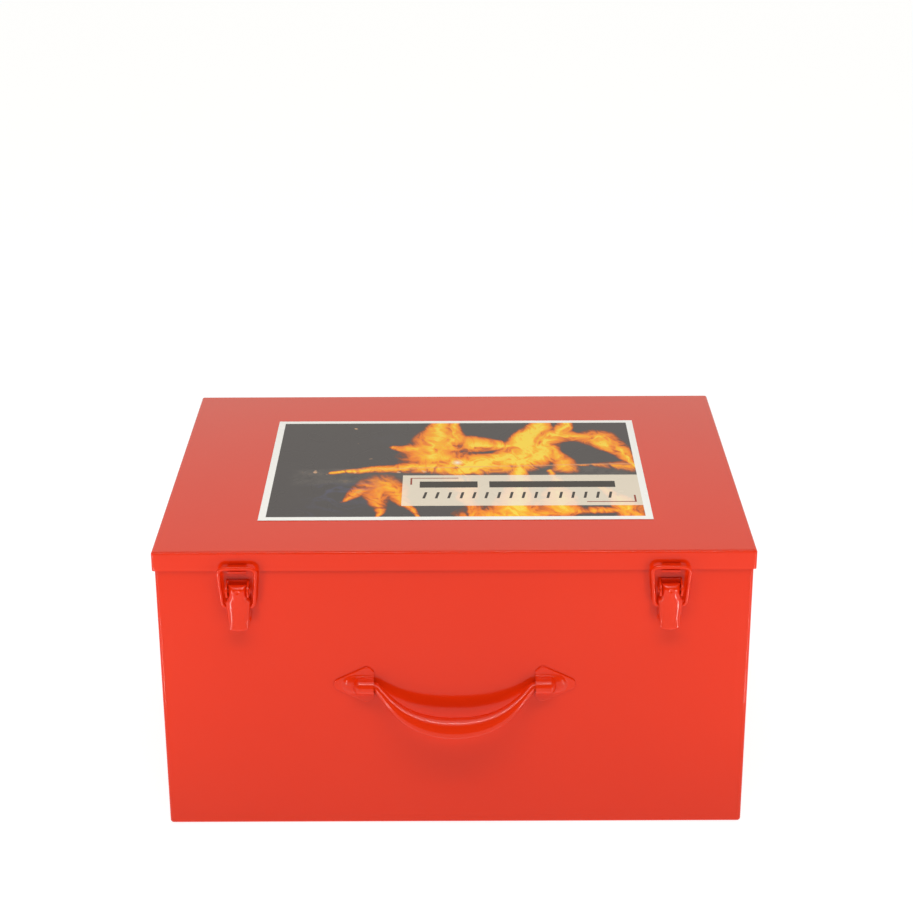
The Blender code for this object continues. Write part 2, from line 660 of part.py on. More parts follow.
def make_handle():
    """The stamped handle, drawn hanging straight down and then tilted out about its pivot."""
    stations = handle_stations()
    stations += [(Vector((-p.x, p.y)), Vector((d.x, -d.y)), swell) for p, d, swell in reversed(stations[:-1])]
    bm = bmesh.new()
    rings = []
    for point, ahead, swell in stations:
        width = 2 * STUB_RADIUS + (GRIP_WIDTH - 2 * STUB_RADIUS) * swell
        thickness = 2 * STUB_RADIUS + (GRIP_THICKNESS - 2 * STUB_RADIUS) * swell
        across = Vector((-ahead.y, ahead.x))
        ring = []
        for a, out in handle_section(width, thickness, 25 + 40 * swell):
            spot = point - across * a
            ring.append(bm.verts.new((spot.x, front(HANDLE_U + out), HANDLE_Z - spot.y)))
        rings.append(ring)
    for ring, following in zip(rings, rings[1:]):
        for i in range(len(ring)):
            j = (i + 1) % len(ring)
            bm.faces.new((ring[i], ring[j], following[j], following[i]))
    bm.faces.new(rings[0])
    bm.faces.new(rings[-1][::-1])
    pivot = Vector((0, front(HANDLE_U), HANDLE_Z))
    tilt = Matrix.Translation(pivot) @ Matrix.Rotation(math.radians(-HANDLE_TILT), 4, "X")
    bmesh.ops.transform(bm, matrix=tilt @ Matrix.Translation(-pivot), verts=bm.verts)
    handle = mesh_object("handle", bm, PARTS)
    smooth(handle, 40)
    hang_on(handle, 0, front(HANDLE_U), HANDLE_Z)
    paint(handle, RED_PAINT)


# ---------------------------------------------------------------- lining

def make_lining():
    wall_foot = BOARD + SHEET + 2 * GAP
    front_half = LINER_SIDE_X - BOARD - GAP
    boards = (
        ("liner_bottom", (-LINER_SIDE_X, LINER_SIDE_X), (-LINER_SIDE_Y, LINER_SIDE_Y),
         (SHEET + GAP, SHEET + GAP + BOARD)),
        ("liner_left", (-LINER_SIDE_X, BOARD - LINER_SIDE_X), (-LINER_SIDE_Y, LINER_SIDE_Y),
         (wall_foot, LINER_TOP)),
        ("liner_right", (LINER_SIDE_X - BOARD, LINER_SIDE_X), (-LINER_SIDE_Y, LINER_SIDE_Y),
         (wall_foot, LINER_TOP)),
        ("liner_front", (-front_half, front_half), (-LINER_SIDE_Y, BOARD - LINER_SIDE_Y),
         (wall_foot, LINER_TOP)),
        ("liner_back", (-front_half, front_half), (LINER_SIDE_Y - BOARD, LINER_SIDE_Y),
         (wall_foot, LINER_TOP)),
    )
    for name, xs, ys, zs in boards:
        paint(block(name, xs, ys, zs), FIRE_BOARD)
    top = LID_UNDERSIDE - GAP
    plug = block("liner_lid", (-PLUG_X, PLUG_X), PLUG_Y, (top - BOARD, top))
    hang_on(plug, 0, HINGE_Y, HINGE_Z)
    paint(plug, FIRE_BOARD)
    seal = prism("lid_seal", rounded_rectangle(*SEAL_OUTER, 6), "Z", SEAL_BOTTOM, top,
                 [rounded_rectangle(*SEAL_INNER, 2)])
    hang_on(seal, 0, HINGE_Y, HINGE_Z)
    paint(seal, FELT)


# ---------------------------------------------------------------- lid stays

def round_hinge(angle):
    """The (y, z) of a point on the stays' circle, at an angle below the closed lid."""
    a = math.radians(angle)
    return (HINGE_Y - STAY_CIRCLE * math.cos(a), HINGE_Z - STAY_CIRCLE * math.sin(a))


def make_stay(tag, side):
    rivet_y, rivet_z = round_hinge(STAY_RIVET_ANGLE)
    stud_y, stud_z = round_hinge(STAY_STUD_ANGLE)
    down = (Vector((stud_y, stud_z)) - Vector((rivet_y, rivet_z))).normalized()

    def along(distance):
        return (rivet_y + down.x * distance, rivet_z + down.y * distance)

    stay_low, stay_high = sorted(side * x for x in STAY_X)
    hole = arc((rivet_y, rivet_z), RIVET_RADIUS + GAP, 0, 330, 11)
    slot = stadium(along(STAY_SLOT[0]), along(STAY_SLOT[1]), STAY_SLOT_HALF)
    strip = stadium(along(0), along(STAY_REACH - STAY_HALF_WIDTH), STAY_HALF_WIDTH)
    stay = prism("stay_" + tag, strip, "X", stay_low, stay_high, [hole, slot])
    hang_on(stay, side * STAY_X[0], rivet_y, rivet_z)
    paint(stay, BARE_STEEL)

    flange_low, flange_high = sorted(side * x for x in BRACKET_FLANGE_X)
    thickness = BRACKET_FLANGE_X[1] - BRACKET_FLANGE_X[0]
    top = LID_UNDERSIDE - GAP
    left, right = rivet_y - BRACKET_WING_HALF, rivet_y + BRACKET_WING_HALF
    wing = [(left, top), (left, top - 8)] + arc((rivet_y, rivet_z), STAY_HALF_WIDTH - 0.5, 200, 340, 6)
    wing += [(right, top - 8), (right, top)]
    bracket = prism("stay_bracket_" + tag, wing, "X", flange_low, flange_high, [hole])
    seat = sorted(side * x for x in (BRACKET_FLANGE_X[0] + 0.1, STUD_X[1]))
    join(bracket, block("bracket_flange_" + tag, seat, (left, right), (top - thickness, top)))
    hang_on(bracket, 0, HINGE_Y, HINGE_Z)
    paint(bracket, BARE_STEEL)

    # The rivet's inner head is thin, so that it clears the side board.
    inner, outer = RIVET_X
    flush = inner + GAP
    head = STAY_X[1] + GAP
    rivet = [(inner, 0), (inner, 3.2), (flush, 3.2), (flush, RIVET_RADIUS), (head, RIVET_RADIUS), (head, 3.6),
             (head + 0.4, 3.4), (outer, 2.4), (outer, 0)]
    rivet = turned_x("stay_rivet_" + tag, [(side * x, r) for x, r in rivet], (0, rivet_y, rivet_z), sides=16)
    hang_on(rivet, 0, HINGE_Y, HINGE_Z)
    smooth(rivet)
    paint(rivet, BARE_STEEL)

    # The stud is welded to the wall by its wide foot, and its head keeps the stay on.
    inner, outer = STUD_X
    foot = outer - 0.7
    stud = [(inner, 0), (inner, 3.4), (inner + 0.4, 4.0), (inner + 0.9, 4.0), (inner + 0.9, STUD_RADIUS),
            (foot, STUD_RADIUS), (foot, 5.5), (outer, 5.5), (outer, 0)]
    stud = turned_x("stay_stud_" + tag, [(side * x, r) for x, r in stud], (0, stud_y, stud_z), sides=16)
    smooth(stud)
    paint(stud, BARE_STEEL)


make_body_shell()
make_lid_shell()
make_label()
make_hinge()
for tag, side in (("left", -1), ("right", 1)):
    make_latch_base(tag, side * LATCH_X)
    make_lever(tag, side * LATCH_X)
    make_bail(tag, side * LATCH_X)
    make_catch(tag, side * LATCH_X)
    make_bracket(tag, side)
    make_stay(tag, side)
make_handle()
make_lining()
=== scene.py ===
"""A red steel battery case, stove enamelled inside and out, lined with fire board.

Lengths are in millimetres in each section, and MM turns them into metres when a mesh is made.
"""
import math

import bmesh
import bpy
import numpy as np
from mathutils import Matrix, Vector


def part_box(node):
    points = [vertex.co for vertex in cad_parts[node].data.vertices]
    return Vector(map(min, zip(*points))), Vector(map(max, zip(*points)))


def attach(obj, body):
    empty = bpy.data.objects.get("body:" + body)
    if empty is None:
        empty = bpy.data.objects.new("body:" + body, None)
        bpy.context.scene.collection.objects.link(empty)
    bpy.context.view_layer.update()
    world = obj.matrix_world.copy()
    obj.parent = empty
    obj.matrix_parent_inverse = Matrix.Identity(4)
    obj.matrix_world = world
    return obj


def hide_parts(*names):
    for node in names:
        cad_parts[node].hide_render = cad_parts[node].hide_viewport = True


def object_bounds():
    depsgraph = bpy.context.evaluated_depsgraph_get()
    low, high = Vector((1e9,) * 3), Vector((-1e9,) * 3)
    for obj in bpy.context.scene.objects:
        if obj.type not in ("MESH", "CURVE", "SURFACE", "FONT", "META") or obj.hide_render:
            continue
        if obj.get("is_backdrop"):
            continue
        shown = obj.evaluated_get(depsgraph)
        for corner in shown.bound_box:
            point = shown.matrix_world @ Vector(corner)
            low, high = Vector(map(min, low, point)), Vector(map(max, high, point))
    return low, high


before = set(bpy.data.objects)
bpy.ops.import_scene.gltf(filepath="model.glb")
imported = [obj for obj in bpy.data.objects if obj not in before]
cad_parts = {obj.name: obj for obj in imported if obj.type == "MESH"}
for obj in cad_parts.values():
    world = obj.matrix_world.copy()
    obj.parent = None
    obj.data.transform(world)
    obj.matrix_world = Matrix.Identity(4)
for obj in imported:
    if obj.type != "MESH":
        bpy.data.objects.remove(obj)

cad_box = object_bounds()
MM = 0.001


# Studio: a wide white table under the case, a large soft box and a thin strip light above its front, and
# a low strip light on each side. The camera looks down at the front from a little above.
camera_data = bpy.data.cameras.new("camera")
camera_data.lens = 81.225
camera_data.sensor_width = 36.0
camera = bpy.data.objects.new("camera", camera_data)
bpy.context.scene.collection.objects.link(camera)
bpy.context.scene.camera = camera
camera_pitch = 90 - 21.635
camera_turn = 0.1045
camera_roll = -0.261
camera.matrix_world = (Matrix.Translation((0.0046, -1.5259, 0.8418))
                       @ Matrix.Rotation(math.radians(camera_turn), 4, "Z")
                       @ Matrix.Rotation(math.radians(camera_pitch), 4, "X")
                       @ Matrix.Rotation(math.radians(camera_roll), 4, "Z"))

floor_mesh = bpy.data.meshes.new("floor")
floor_bm = bmesh.new()
bmesh.ops.create_grid(floor_bm, x_segments=1, y_segments=1, size=12)
floor_bm.to_mesh(floor_mesh)
floor_bm.free()
floor = bpy.data.objects.new("floor", floor_mesh)
floor.location.z = -0.0003
bpy.context.scene.collection.objects.link(floor)
floor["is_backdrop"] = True
floor_paper = bpy.data.materials.new("floor_paper")
floor_paper.use_nodes = True
paper = floor_paper.node_tree.nodes["Principled BSDF"].inputs
paper["Base Color"].default_value = (0.34, 0.34, 0.34, 1)
paper["Roughness"].default_value = 0.9
paper["Specular IOR Level"].default_value = 0.1
paper["Emission Color"].default_value = (1, 1, 1, 1)
paper["Emission Strength"].default_value = 0.84
floor_mesh.materials.append(floor_paper)

# The room is bright behind the case and dark in front of it.
world = bpy.data.worlds.new("studio")
world.use_nodes = True
room = world.node_tree
direction = room.nodes.new("ShaderNodeTexCoord")
split = room.nodes.new("ShaderNodeSeparateXYZ")
blend = room.nodes.new("ShaderNodeMapRange")
blend.interpolation_type = "SMOOTHSTEP"
blend.inputs["From Min"].default_value = -0.3
blend.inputs["From Max"].default_value = 0.2
halves = room.nodes.new("ShaderNodeMix")
halves.data_type = "RGBA"
# Brightness from straight down to straight up: dim in front of the case, and a bright wall behind it.
front_levels = ((0.0, 0.12), (0.36, 0.12), (0.50, 0.08), (0.80, 0.08), (1.0, 0.20))
back_levels = ((0.0, 0.62), (0.34, 0.90), (0.50, 1.05), (0.80, 0.52), (1.0, 0.34))
for levels, socket in ((front_levels, 6), (back_levels, 7)):
    ramp = room.nodes.new("ShaderNodeValToRGB")
    while len(ramp.color_ramp.elements) < len(levels):
        ramp.color_ramp.elements.new(0.5)
    for element, (position, level) in zip(ramp.color_ramp.elements, levels):
        element.position = position
        element.color = (level, 0.98 * level, 0.88 * level, 1)
    room.links.new(split.outputs["Z"], ramp.inputs[0])
    room.links.new(ramp.outputs[0], halves.inputs[socket])
room.links.new(direction.outputs["Generated"], split.inputs[0])
room.links.new(split.outputs["Y"], blend.inputs["Value"])
room.links.new(blend.outputs[0], halves.inputs[0])
room.links.new(halves.outputs[2], room.nodes["Background"].inputs["Color"])
bpy.context.scene.world = world
bpy.context.scene.view_settings.view_transform = "Standard"


def soft_box(name, place, aim, width, height, watts):
    light = bpy.data.lights.new(name, "AREA")
    light.shape = "RECTANGLE"
    light.size = width
    light.size_y = height
    light.energy = watts
    lamp = bpy.data.objects.new(name, light)
    lamp.location = place
    lamp.rotation_euler = (Vector(aim) - Vector(place)).to_track_quat("-Z", "Y").to_euler()
    bpy.context.scene.collection.objects.link(lamp)
    return lamp


soft_box("top_box", (0, -0.8, 1.7), (0, -0.1, 0.1), 2.0, 1.0, 12)
soft_box("thin_strip", (0, -0.9, 1.5), (0, -0.1, 0.1), 1.3, 0.06, 5)
soft_box("left_strip", (-0.66, -0.78, 0.15), (0, -0.1, 0.13), 0.04, 0.28, 0.6)
soft_box("right_strip", (0.66, -0.78, 0.15), (0, -0.1, 0.13), 0.04, 0.28, 0.6)
# Two thin tubes lie on the table in front, running away from the case's corners.
for side in (-1, 1):
    middle = Vector((0.495 * side, -0.57, 0.004))
    tube = soft_box("table_tube", middle, middle + Vector((0, 0, 1)), 0.022, 0.55, 1.15)
    tube.rotation_euler = (math.pi, 0, side * math.atan2(0.35, 0.42))


# Red stove enamel: a tough gloss paint baked onto every steel piece that shows. It flows to a faint
# orange peel, with a trace of difference in tone and gloss from place to place.
class Value:
    """A socket in a finish. Arithmetic on it adds Math nodes."""

    def __init__(self, finish, socket):
        self.finish = finish
        self.socket = socket

    def math(self, operation, *others):
        sockets = {0: self, **dict(enumerate(others, 1))}
        return self.finish.node("ShaderNodeMath", {"operation": operation}, sockets)[0]

    def flipped(self, operation, other):
        return self.finish.node("ShaderNodeMath", {"operation": operation}, {0: other, 1: self})[0]

    def __add__(self, other):
        return self.math("ADD", other)

    def __sub__(self, other):
        return self.math("SUBTRACT", other)

    def __rsub__(self, other):
        return self.flipped("SUBTRACT", other)

    def __mul__(self, other):
        return self.math("MULTIPLY", other)

    def __truediv__(self, other):
        return self.math("DIVIDE", other)

    def __pow__(self, other):
        return self.math("POWER", other)

    def __gt__(self, other):
        return self.math("GREATER_THAN", other)

    def __lt__(self, other):
        return self.math("LESS_THAN", other)

    __radd__ = __add__
    __rmul__ = __mul__

    def clamped(self):
        """Held between 0 and 1."""
        return self.math("MINIMUM", 1).math("MAXIMUM", 0)

    def step(self, low, high):
        """0 below low and 1 above high, with a soft ramp between."""
        settings = {"interpolation_type": "SMOOTHSTEP"}
        sockets = {"Value": self, "From Min": low, "From Max": high}
        return self.finish.node("ShaderNodeMapRange", settings, sockets)[0]


class Finish:
    """A material made of nodes round one Principled shader."""

    def __init__(self, name, **constants):
        self.material = bpy.data.materials.new(name)
        self.material.use_nodes = True
        self.tree = self.material.node_tree
        self.shader = self.tree.nodes["Principled BSDF"]
        for socket, value in constants.items():
            self.shader.inputs[socket.replace("_", " ")].default_value = value
        self.place = self.node("ShaderNodeTexCoord", {}, {}, "Object")[0]

    def node(self, kind, settings, sockets, *outputs):
        """Add a node and give its outputs, the first one unless they are named."""
        made = self.tree.nodes.new(kind)
        for key, value in settings.items():
            setattr(made, key, value)
        for key, value in sockets.items():
            self.plug(value, made.inputs[key])
        return [Value(self, made.outputs[key]) for key in (outputs or (0,))]

    def plug(self, value, socket):
        if isinstance(value, Value):
            self.tree.links.new(value.socket, socket)
        else:
            socket.default_value = value

    def feed(self, **links):
        """Link values into the shader's own sockets."""
        for key, value in links.items():
            self.plug(value, self.shader.inputs[key.replace("_", " ")])

    def stretched(self, x, y, z):
        """The piece's coordinates, stretched along each axis."""
        return self.node("ShaderNodeMapping", {}, {"Vector": self.place, "Scale": (x, y, z)})[0]

    def noise(self, scale, detail=2.0, vector=None, **more):
        sockets = {"Vector": vector or self.place, "Scale": scale, "Detail": detail}
        sockets.update({key.replace("_", " "): value for key, value in more.items()})
        return self.node("ShaderNodeTexNoise", {}, sockets)[0]

    def mix(self, factor, first, second):
        """A colour between two colours."""
        settings = {"data_type": "RGBA", "clamp_factor": True}
        made = self.tree.nodes.new("ShaderNodeMix")
        for key, value in settings.items():
            setattr(made, key, value)
        self.plug(factor, made.inputs["Factor"])
        for index, colour in ((6, first), (7, second)):
            self.plug(colour if isinstance(colour, Value) else (*colour, 1), made.inputs[index])
        return Value(self, made.outputs[2])

    def ramp(self, factor, stops):
        """A colour read from stops of (position, colour)."""
        made = self.tree.nodes.new("ShaderNodeValToRGB")
        elements = made.color_ramp.elements
        while len(elements) < len(stops):
            elements.new(0.5)
        for element, (position, colour) in zip(elements, stops):
            element.position = position
            element.color = (*colour, 1)
        self.plug(factor, made.inputs[0])
        return Value(self, made.outputs[0])

    def bumps(self, height, depth, strength=1.0):
        """Raise the surface by a height of 0 to 1, depth metres tall."""
        sockets = {"Height": height, "Distance": depth, "Strength": strength}
        normal = self.node("ShaderNodeBump", {}, sockets)[0]
        self.feed(Normal=normal)


def stove_enamel(name, base, deep, gloss):
    """Baked gloss enamel between two near shades of red."""
    paint = Finish(name, IOR=1.5, Specular_IOR_Level=0.3)
    clouds = paint.noise(9, 3)
    peel = paint.noise(420, 1.5)
    dust = paint.noise(1900, 1).step(0.66, 0.8)
    paint.feed(Base_Color=paint.mix(clouds, base, deep))
    paint.feed(Roughness=gloss + clouds * 0.04 + dust * 0.05)
    paint.bumps(peel + dust * 0.4, 0.000012)
    return paint.material


RED = (0.80, 0.032, 0.003)
DEEP_RED = (0.77, 0.027, 0.002)
enamel = stove_enamel("red_stove_enamel", RED, DEEP_RED, 0.10)


# Body: one sheet of 1 mm steel folded up into a floor and four walls, the rim hemmed inwards so that no
# raw edge meets the hand. The bends show as soft round edges, and the whole shell is enamelled.
def millimetres(node):
    """A CAD node's lowest and highest corner in millimetres."""
    return [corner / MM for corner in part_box(node)]


def as_object(name, bm, material):
    """A mesh object at the origin from a bmesh drawn in millimetres."""
    bmesh.ops.recalc_face_normals(bm, faces=bm.faces)
    bmesh.ops.transform(bm, matrix=Matrix.Scale(MM, 4), verts=bm.verts)
    mesh = bpy.data.meshes.new(name)
    bm.to_mesh(mesh)
    bm.free()
    mesh.materials.append(material)
    made = bpy.data.objects.new(name, mesh)
    bpy.context.scene.collection.objects.link(made)
    return made


def settled(piece, angle=35):
    """Apply every modifier, so that the piece is a plain mesh, and smooth all but its sharp edges."""
    graph = bpy.context.evaluated_depsgraph_get()
    mesh = bpy.data.meshes.new_from_object(piece.evaluated_get(graph))
    piece.modifiers.clear()
    piece.data = mesh
    mesh.shade_smooth()
    mesh.set_sharp_from_angle(angle=math.radians(angle))
    return piece


def rounded(piece, width, segments=3, angle=40):
    """Round a piece's edges and settle it."""
    edge = piece.modifiers.new("edge", "BEVEL")
    edge.width = width * MM
    edge.segments = segments
    edge.limit_method = "ANGLE"
    edge.angle_limit = math.radians(angle)
    return settled(piece)


def folded_sheet(name, low, high, opening, bend, sheet):
    """A box of folded sheet. opening is 1 when it is open at the top and -1 at the bottom."""
    bm = bmesh.new()
    size = high - low
    bmesh.ops.create_cube(bm, size=1, matrix=Matrix.LocRotScale((low + high) / 2, None, size))
    middle = (low.z + high.z) / 2
    lost = [f for f in bm.faces if (f.calc_center_median().z - middle) * opening > size.z / 4]
    bmesh.ops.delete(bm, geom=lost, context="FACES")
    folds = [e for e in bm.edges if not e.is_boundary]
    bmesh.ops.bevel(bm, geom=folds, offset=bend, segments=8, profile=0.5, affect="EDGES")
    made = as_object(name, bm, enamel)
    wall = made.modifiers.new("sheet", "SOLIDIFY")
    wall.thickness = sheet * MM
    wall.offset = -1
    wall.use_even_offset = True
    return rounded(made, 0.25, 3, 60)


body_low, body_high = millimetres("body_shell")
body_bend = 2.6
sheet = 1.0
body_shell = folded_sheet("body_shell_folded", body_low, body_high, 1, body_bend, sheet)
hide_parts("body_shell")
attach(body_shell, "body")


def hem_ring(name, inner, outer, z_low, z_high, round_edge, material):
    """A flat band round a rectangle, its edges rounded."""
    bm = bmesh.new()
    rings = []
    for (half_x, half_y), z in ((outer, z_low), (outer, z_high), (inner, z_high), (inner, z_low)):
        corners = ((half_x, half_y), (-half_x, half_y), (-half_x, -half_y), (half_x, -half_y))
        rings.append([bm.verts.new((x, y, z)) for x, y in corners])
    for ring, following in zip(rings, rings[1:] + rings[:1]):
        for i in range(4):
            j = (i + 1) % 4
            bm.faces.new((ring[i], ring[j], following[j], following[i]))
    bmesh.ops.recalc_face_normals(bm, faces=bm.faces)
    bmesh.ops.bevel(bm, geom=list(bm.edges), offset=round_edge, segments=4, profile=0.5, affect="EDGES")
    return settled(as_object(name, bm, material))


hem_thickness = 1.2
hem_depth = 8.0
hem_round = 0.45
hem_gap = 0.02
hem_top = body_high.z - 0.05
hem_inner = (body_high.x - sheet - hem_thickness, body_high.y - sheet - hem_thickness)
hem_outer = (body_high.x - sheet - hem_gap, body_high.y - sheet - hem_gap)
hem = hem_ring("rim_hem", hem_inner, hem_outer, body_high.z - hem_depth, hem_top, hem_round, enamel)
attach(hem, "body")


# Lid: a second folded sheet that drops over the body with a 15 mm lip all round. Its bends are tighter
# than the body's, which makes the thin bright line along the front edge.
lid_low, lid_high = millimetres("lid_shell")
lid_bend = 2.0
lid_shell = folded_sheet("lid_shell_folded", lid_low, lid_high, -1, lid_bend, sheet)
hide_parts("lid_shell")
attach(lid_shell, "lid")


# Label: an A4 digital print of a camp fire under clear film, stuck to the lid by hand. It has a white
# border, a pale see-through banner with plain bars for its two lines, and two small red corner marks.
label_low, label_high = millimetres("label")
label_bm = bmesh.new()
bmesh.ops.create_cube(label_bm, size=1, matrix=Matrix.LocRotScale(
    (label_low + label_high) / 2, None, label_high - label_low))
film_edge = 0.08
bmesh.ops.bevel(label_bm, geom=list(label_bm.edges), offset=film_edge, segments=2, affect="EDGES")

border_side = 5.5
border_foot = 6.0
print_width = label_high.x - label_low.x - 2 * border_side
print_height = label_high.y - label_low.y - border_side - border_foot

film = Finish("printed_film", IOR=1.5, Specular_IOR_Level=0.12)
spot = film.node("ShaderNodeSeparateXYZ", {}, {0: film.place}, "X", "Y")
across = (spot[0] / MM - (label_low.x + border_side)) / print_width
up = (spot[1] / MM - (label_low.y + border_foot)) / print_height


def within(value, low, high):
    return (value > low) * (value < high)


def patch(left, right, foot, head):
    """1 inside a box of the print, whose sides run from 0 to 1."""
    return within(across, left, right) * within(up, foot, head)


# The fire: each tongue is a tapered stroke, and a noise that is drawn out upwards bends and frays it.
broad_bend = film.noise(13, 2)
fine_bend = film.noise(38, 3, film.stretched(1, 0.6, 1))
lean_x = across + (broad_bend - 0.5) * 0.10 + (fine_bend - 0.5) * 0.05
lean_y = up + (film.noise(17, 2, film.stretched(1, 1, 5)) - 0.5) * 0.12 + (fine_bend - 0.5) * 0.05


def tongue(start, end, width, heat):
    """A stroke from one place to another, hottest in its middle and narrow towards its end."""
    run_x, run_y = end[0] - start[0], (end[1] - start[1]) * print_height / print_width
    length = math.hypot(run_x, run_y)
    from_x = lean_x - start[0]
    from_y = (lean_y - start[1]) * (print_height / print_width)
    along = ((from_x * run_x + from_y * run_y) / length ** 2).clamped()
    away_x = from_x - along * run_x
    away_y = from_y - along * run_y
    away = (away_x * away_x + away_y * away_y) ** 0.5
    return (1 - away / (width * (1.3 - along * 1.15))).clamped() ** 0.75 * heat


strokes = [
    ((0.62, 0.52), (0.17, 0.470), 0.070, 0.80), ((0.54, 0.54), (0.33, 0.72), 0.085, 0.72),
    ((0.42, 0.60), (0.47, 1.06), 0.080, 0.82), ((0.47, 0.72), (0.51, 1.08), 0.050, 0.80),
    ((0.53, 0.52), (0.70, 0.66), 0.090, 1.05), ((0.68, 0.58), (0.76, 1.10), 0.080, 1.15),
    ((0.55, 0.76), (0.70, 0.74), 0.055, 0.95), ((0.74, 0.62), (0.83, 1.10), 0.055, 1.00),
    ((0.80, 0.84), (0.90, 0.80), 0.045, 0.72), ((0.895, 0.82), (1.00, 0.50), 0.055, 0.85),
    ((0.81, 0.48), (0.78, 0.84), 0.036, 0.75), ((0.67, 0.02), (0.68, 0.60), 0.070, 0.95),
    ((0.98, 0.50), (0.84, 0.52), 0.034, 0.55), ((0.30, 0.36), (0.19, 0.16), 0.046, 0.60),
    ((0.31, 0.35), (0.40, -0.04), 0.042, 0.64), ((0.29, 0.30), (0.28, -0.04), 0.038, 0.58),
    ((0.56, 0.02), (0.98, 0.05), 0.062, 0.66), ((0.98, 0.02), (0.88, 0.30), 0.050, 0.80),
    ((0.50, 0.34), (0.56, 0.00), 0.050, 0.64), ((0.78, 0.05), (0.77, 0.47), 0.050, 0.80),
]
fire = tongue(*strokes[0])
for stroke in strokes[1:]:
    fire = fire.math("SMOOTH_MAX", tongue(*stroke), 0.06)
streaks = film.noise(9, 4, film.node("ShaderNodeCombineXYZ", {}, {
    "X": lean_x * 2.4 + lean_y * 0.5, "Y": lean_y * 0.8 - lean_x * 0.4, "Z": 1.7})[0], Roughness=0.55,
    Distortion=1.1)
veins = 1 - (streaks * 2 - 1).math("ABSOLUTE") * 3.4
curls = film.noise(70, 3, None, Distortion=1.2)
fire = (fire * (0.68 + veins * 0.60) + (curls - 0.5) * fire * 0.55).clamped()
print_black = (0.076, 0.066, 0.068)
flame_colours = [
    (0.10, print_black), (0.20, (0.20, 0.060, 0.030)), (0.32, (0.62, 0.12, 0.006)),
    (0.46, (0.92, 0.22, 0.002)), (0.62, (1.0, 0.35, 0.002)), (0.82, (1.0, 0.51, 0.004)),
    (1.0, (1.0, 0.70, 0.05)),
]
flames = film.ramp(fire, flame_colours)

# The log: a charred bar across the print with a pale edge along its top and grey ash on its left end.
log_line = up - (0.465 + across * 0.07) + (film.noise(60, 3) - 0.5) * 0.012
char_noise = film.noise(110, 5, None, Roughness=0.7)
log_body = (0.02 - log_line).step(0, 0.02) * (log_line + 0.17).step(0, 0.04)
log_body = log_body * (across - 0.03).step(0, 0.06)
char_colours = [(0.35, print_black), (0.6, (0.12, 0.105, 0.10)), (0.78, (0.24, 0.16, 0.11))]
char = film.ramp(char_noise, char_colours)
wisps = film.noise(26, 3, None, Distortion=2.0)
smoke = (1 - (wisps * 2 - 1).math("ABSOLUTE") * 7).clamped() * (0.36 - across).step(0, 0.12)
smoke = smoke * (across - 0.06).step(0, 0.1) * film.noise(12, 2).step(0.45, 0.7)
night = film.mix(smoke * 0.35, flames, (0.12, 0.13, 0.26))
wood = film.mix(log_body * (1 - fire * 1.6).clamped() * 0.9, night, char)
rim_glow = (1 - (log_line * 110).math("ABSOLUTE")).clamped() * (across - 0.16).step(0, 0.1)
lit = film.mix(rim_glow * 0.6, wood, (0.95, 0.40, 0.16))
ember_noise = film.noise(150, 1)
embers = ember_noise.step(0.76, 0.80) * within(up, 0.55, 0.95) * within(across, 0.15, 0.40)
ash = ember_noise.step(0.66, 0.74) * within(log_line, -0.05, 0.0) * within(across, 0.10, 0.42)
picture = film.mix((embers * 0.7 + ash * 0.6).clamped(), lit, (0.90, 0.52, 0.30))
glow_spot = ((across - 0.505) ** 2 + ((up - 0.55) * 0.55) ** 2) ** 0.5
picture = film.mix((1 - glow_spot * 45).clamped() ** 2, picture, (1.0, 0.95, 0.80))

# The banner, its corner marks, and its bars in place of words: a heavy pair above and a light row below.
banner = patch(0.355, 1.0, 0.105, 0.415)
veiled = film.mix(banner * 0.80, picture, (0.94, 0.83, 0.68))
marks = (patch(0.376, 0.508, 0.381, 0.388) + patch(0.376, 0.381, 0.318, 0.388)
         + patch(0.852, 0.985, 0.137, 0.144) + patch(0.980, 0.985, 0.137, 0.206)).clamped()
marked = film.mix(marks, veiled, (0.30, 0.045, 0.025))
heavy = patch(0.402, 0.560, 0.287, 0.350) + patch(0.592, 0.935, 0.287, 0.350)
slant = across - up * 0.10
light_row = within(slant, 0.384, 0.912) * within(up, 0.178, 0.240)
light_row = light_row * ((slant * 30).math("FRACT") > 0.78)
dark_ink = film.mix((heavy + light_row).clamped(), marked, (0.045, 0.036, 0.032))
white_border = 1 - within(across, 0, 1) * within(up, 0, 1)
printed = film.mix(white_border, dark_ink, (0.93, 0.92, 0.90))
# The print also glows faintly through a weak emission of its own colours: painted light that makes the label
# brighter than the lamps alone make it.
film.feed(Base_Color=printed, Emission_Color=printed, Emission_Strength=0.07)
film.feed(Roughness=0.24 + film.noise(30, 2) * 0.06)
film.bumps(film.noise(260, 2), 0.000010)
label = settled(as_object("label_print", label_bm, film.material))
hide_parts("label")
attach(label, "lid")


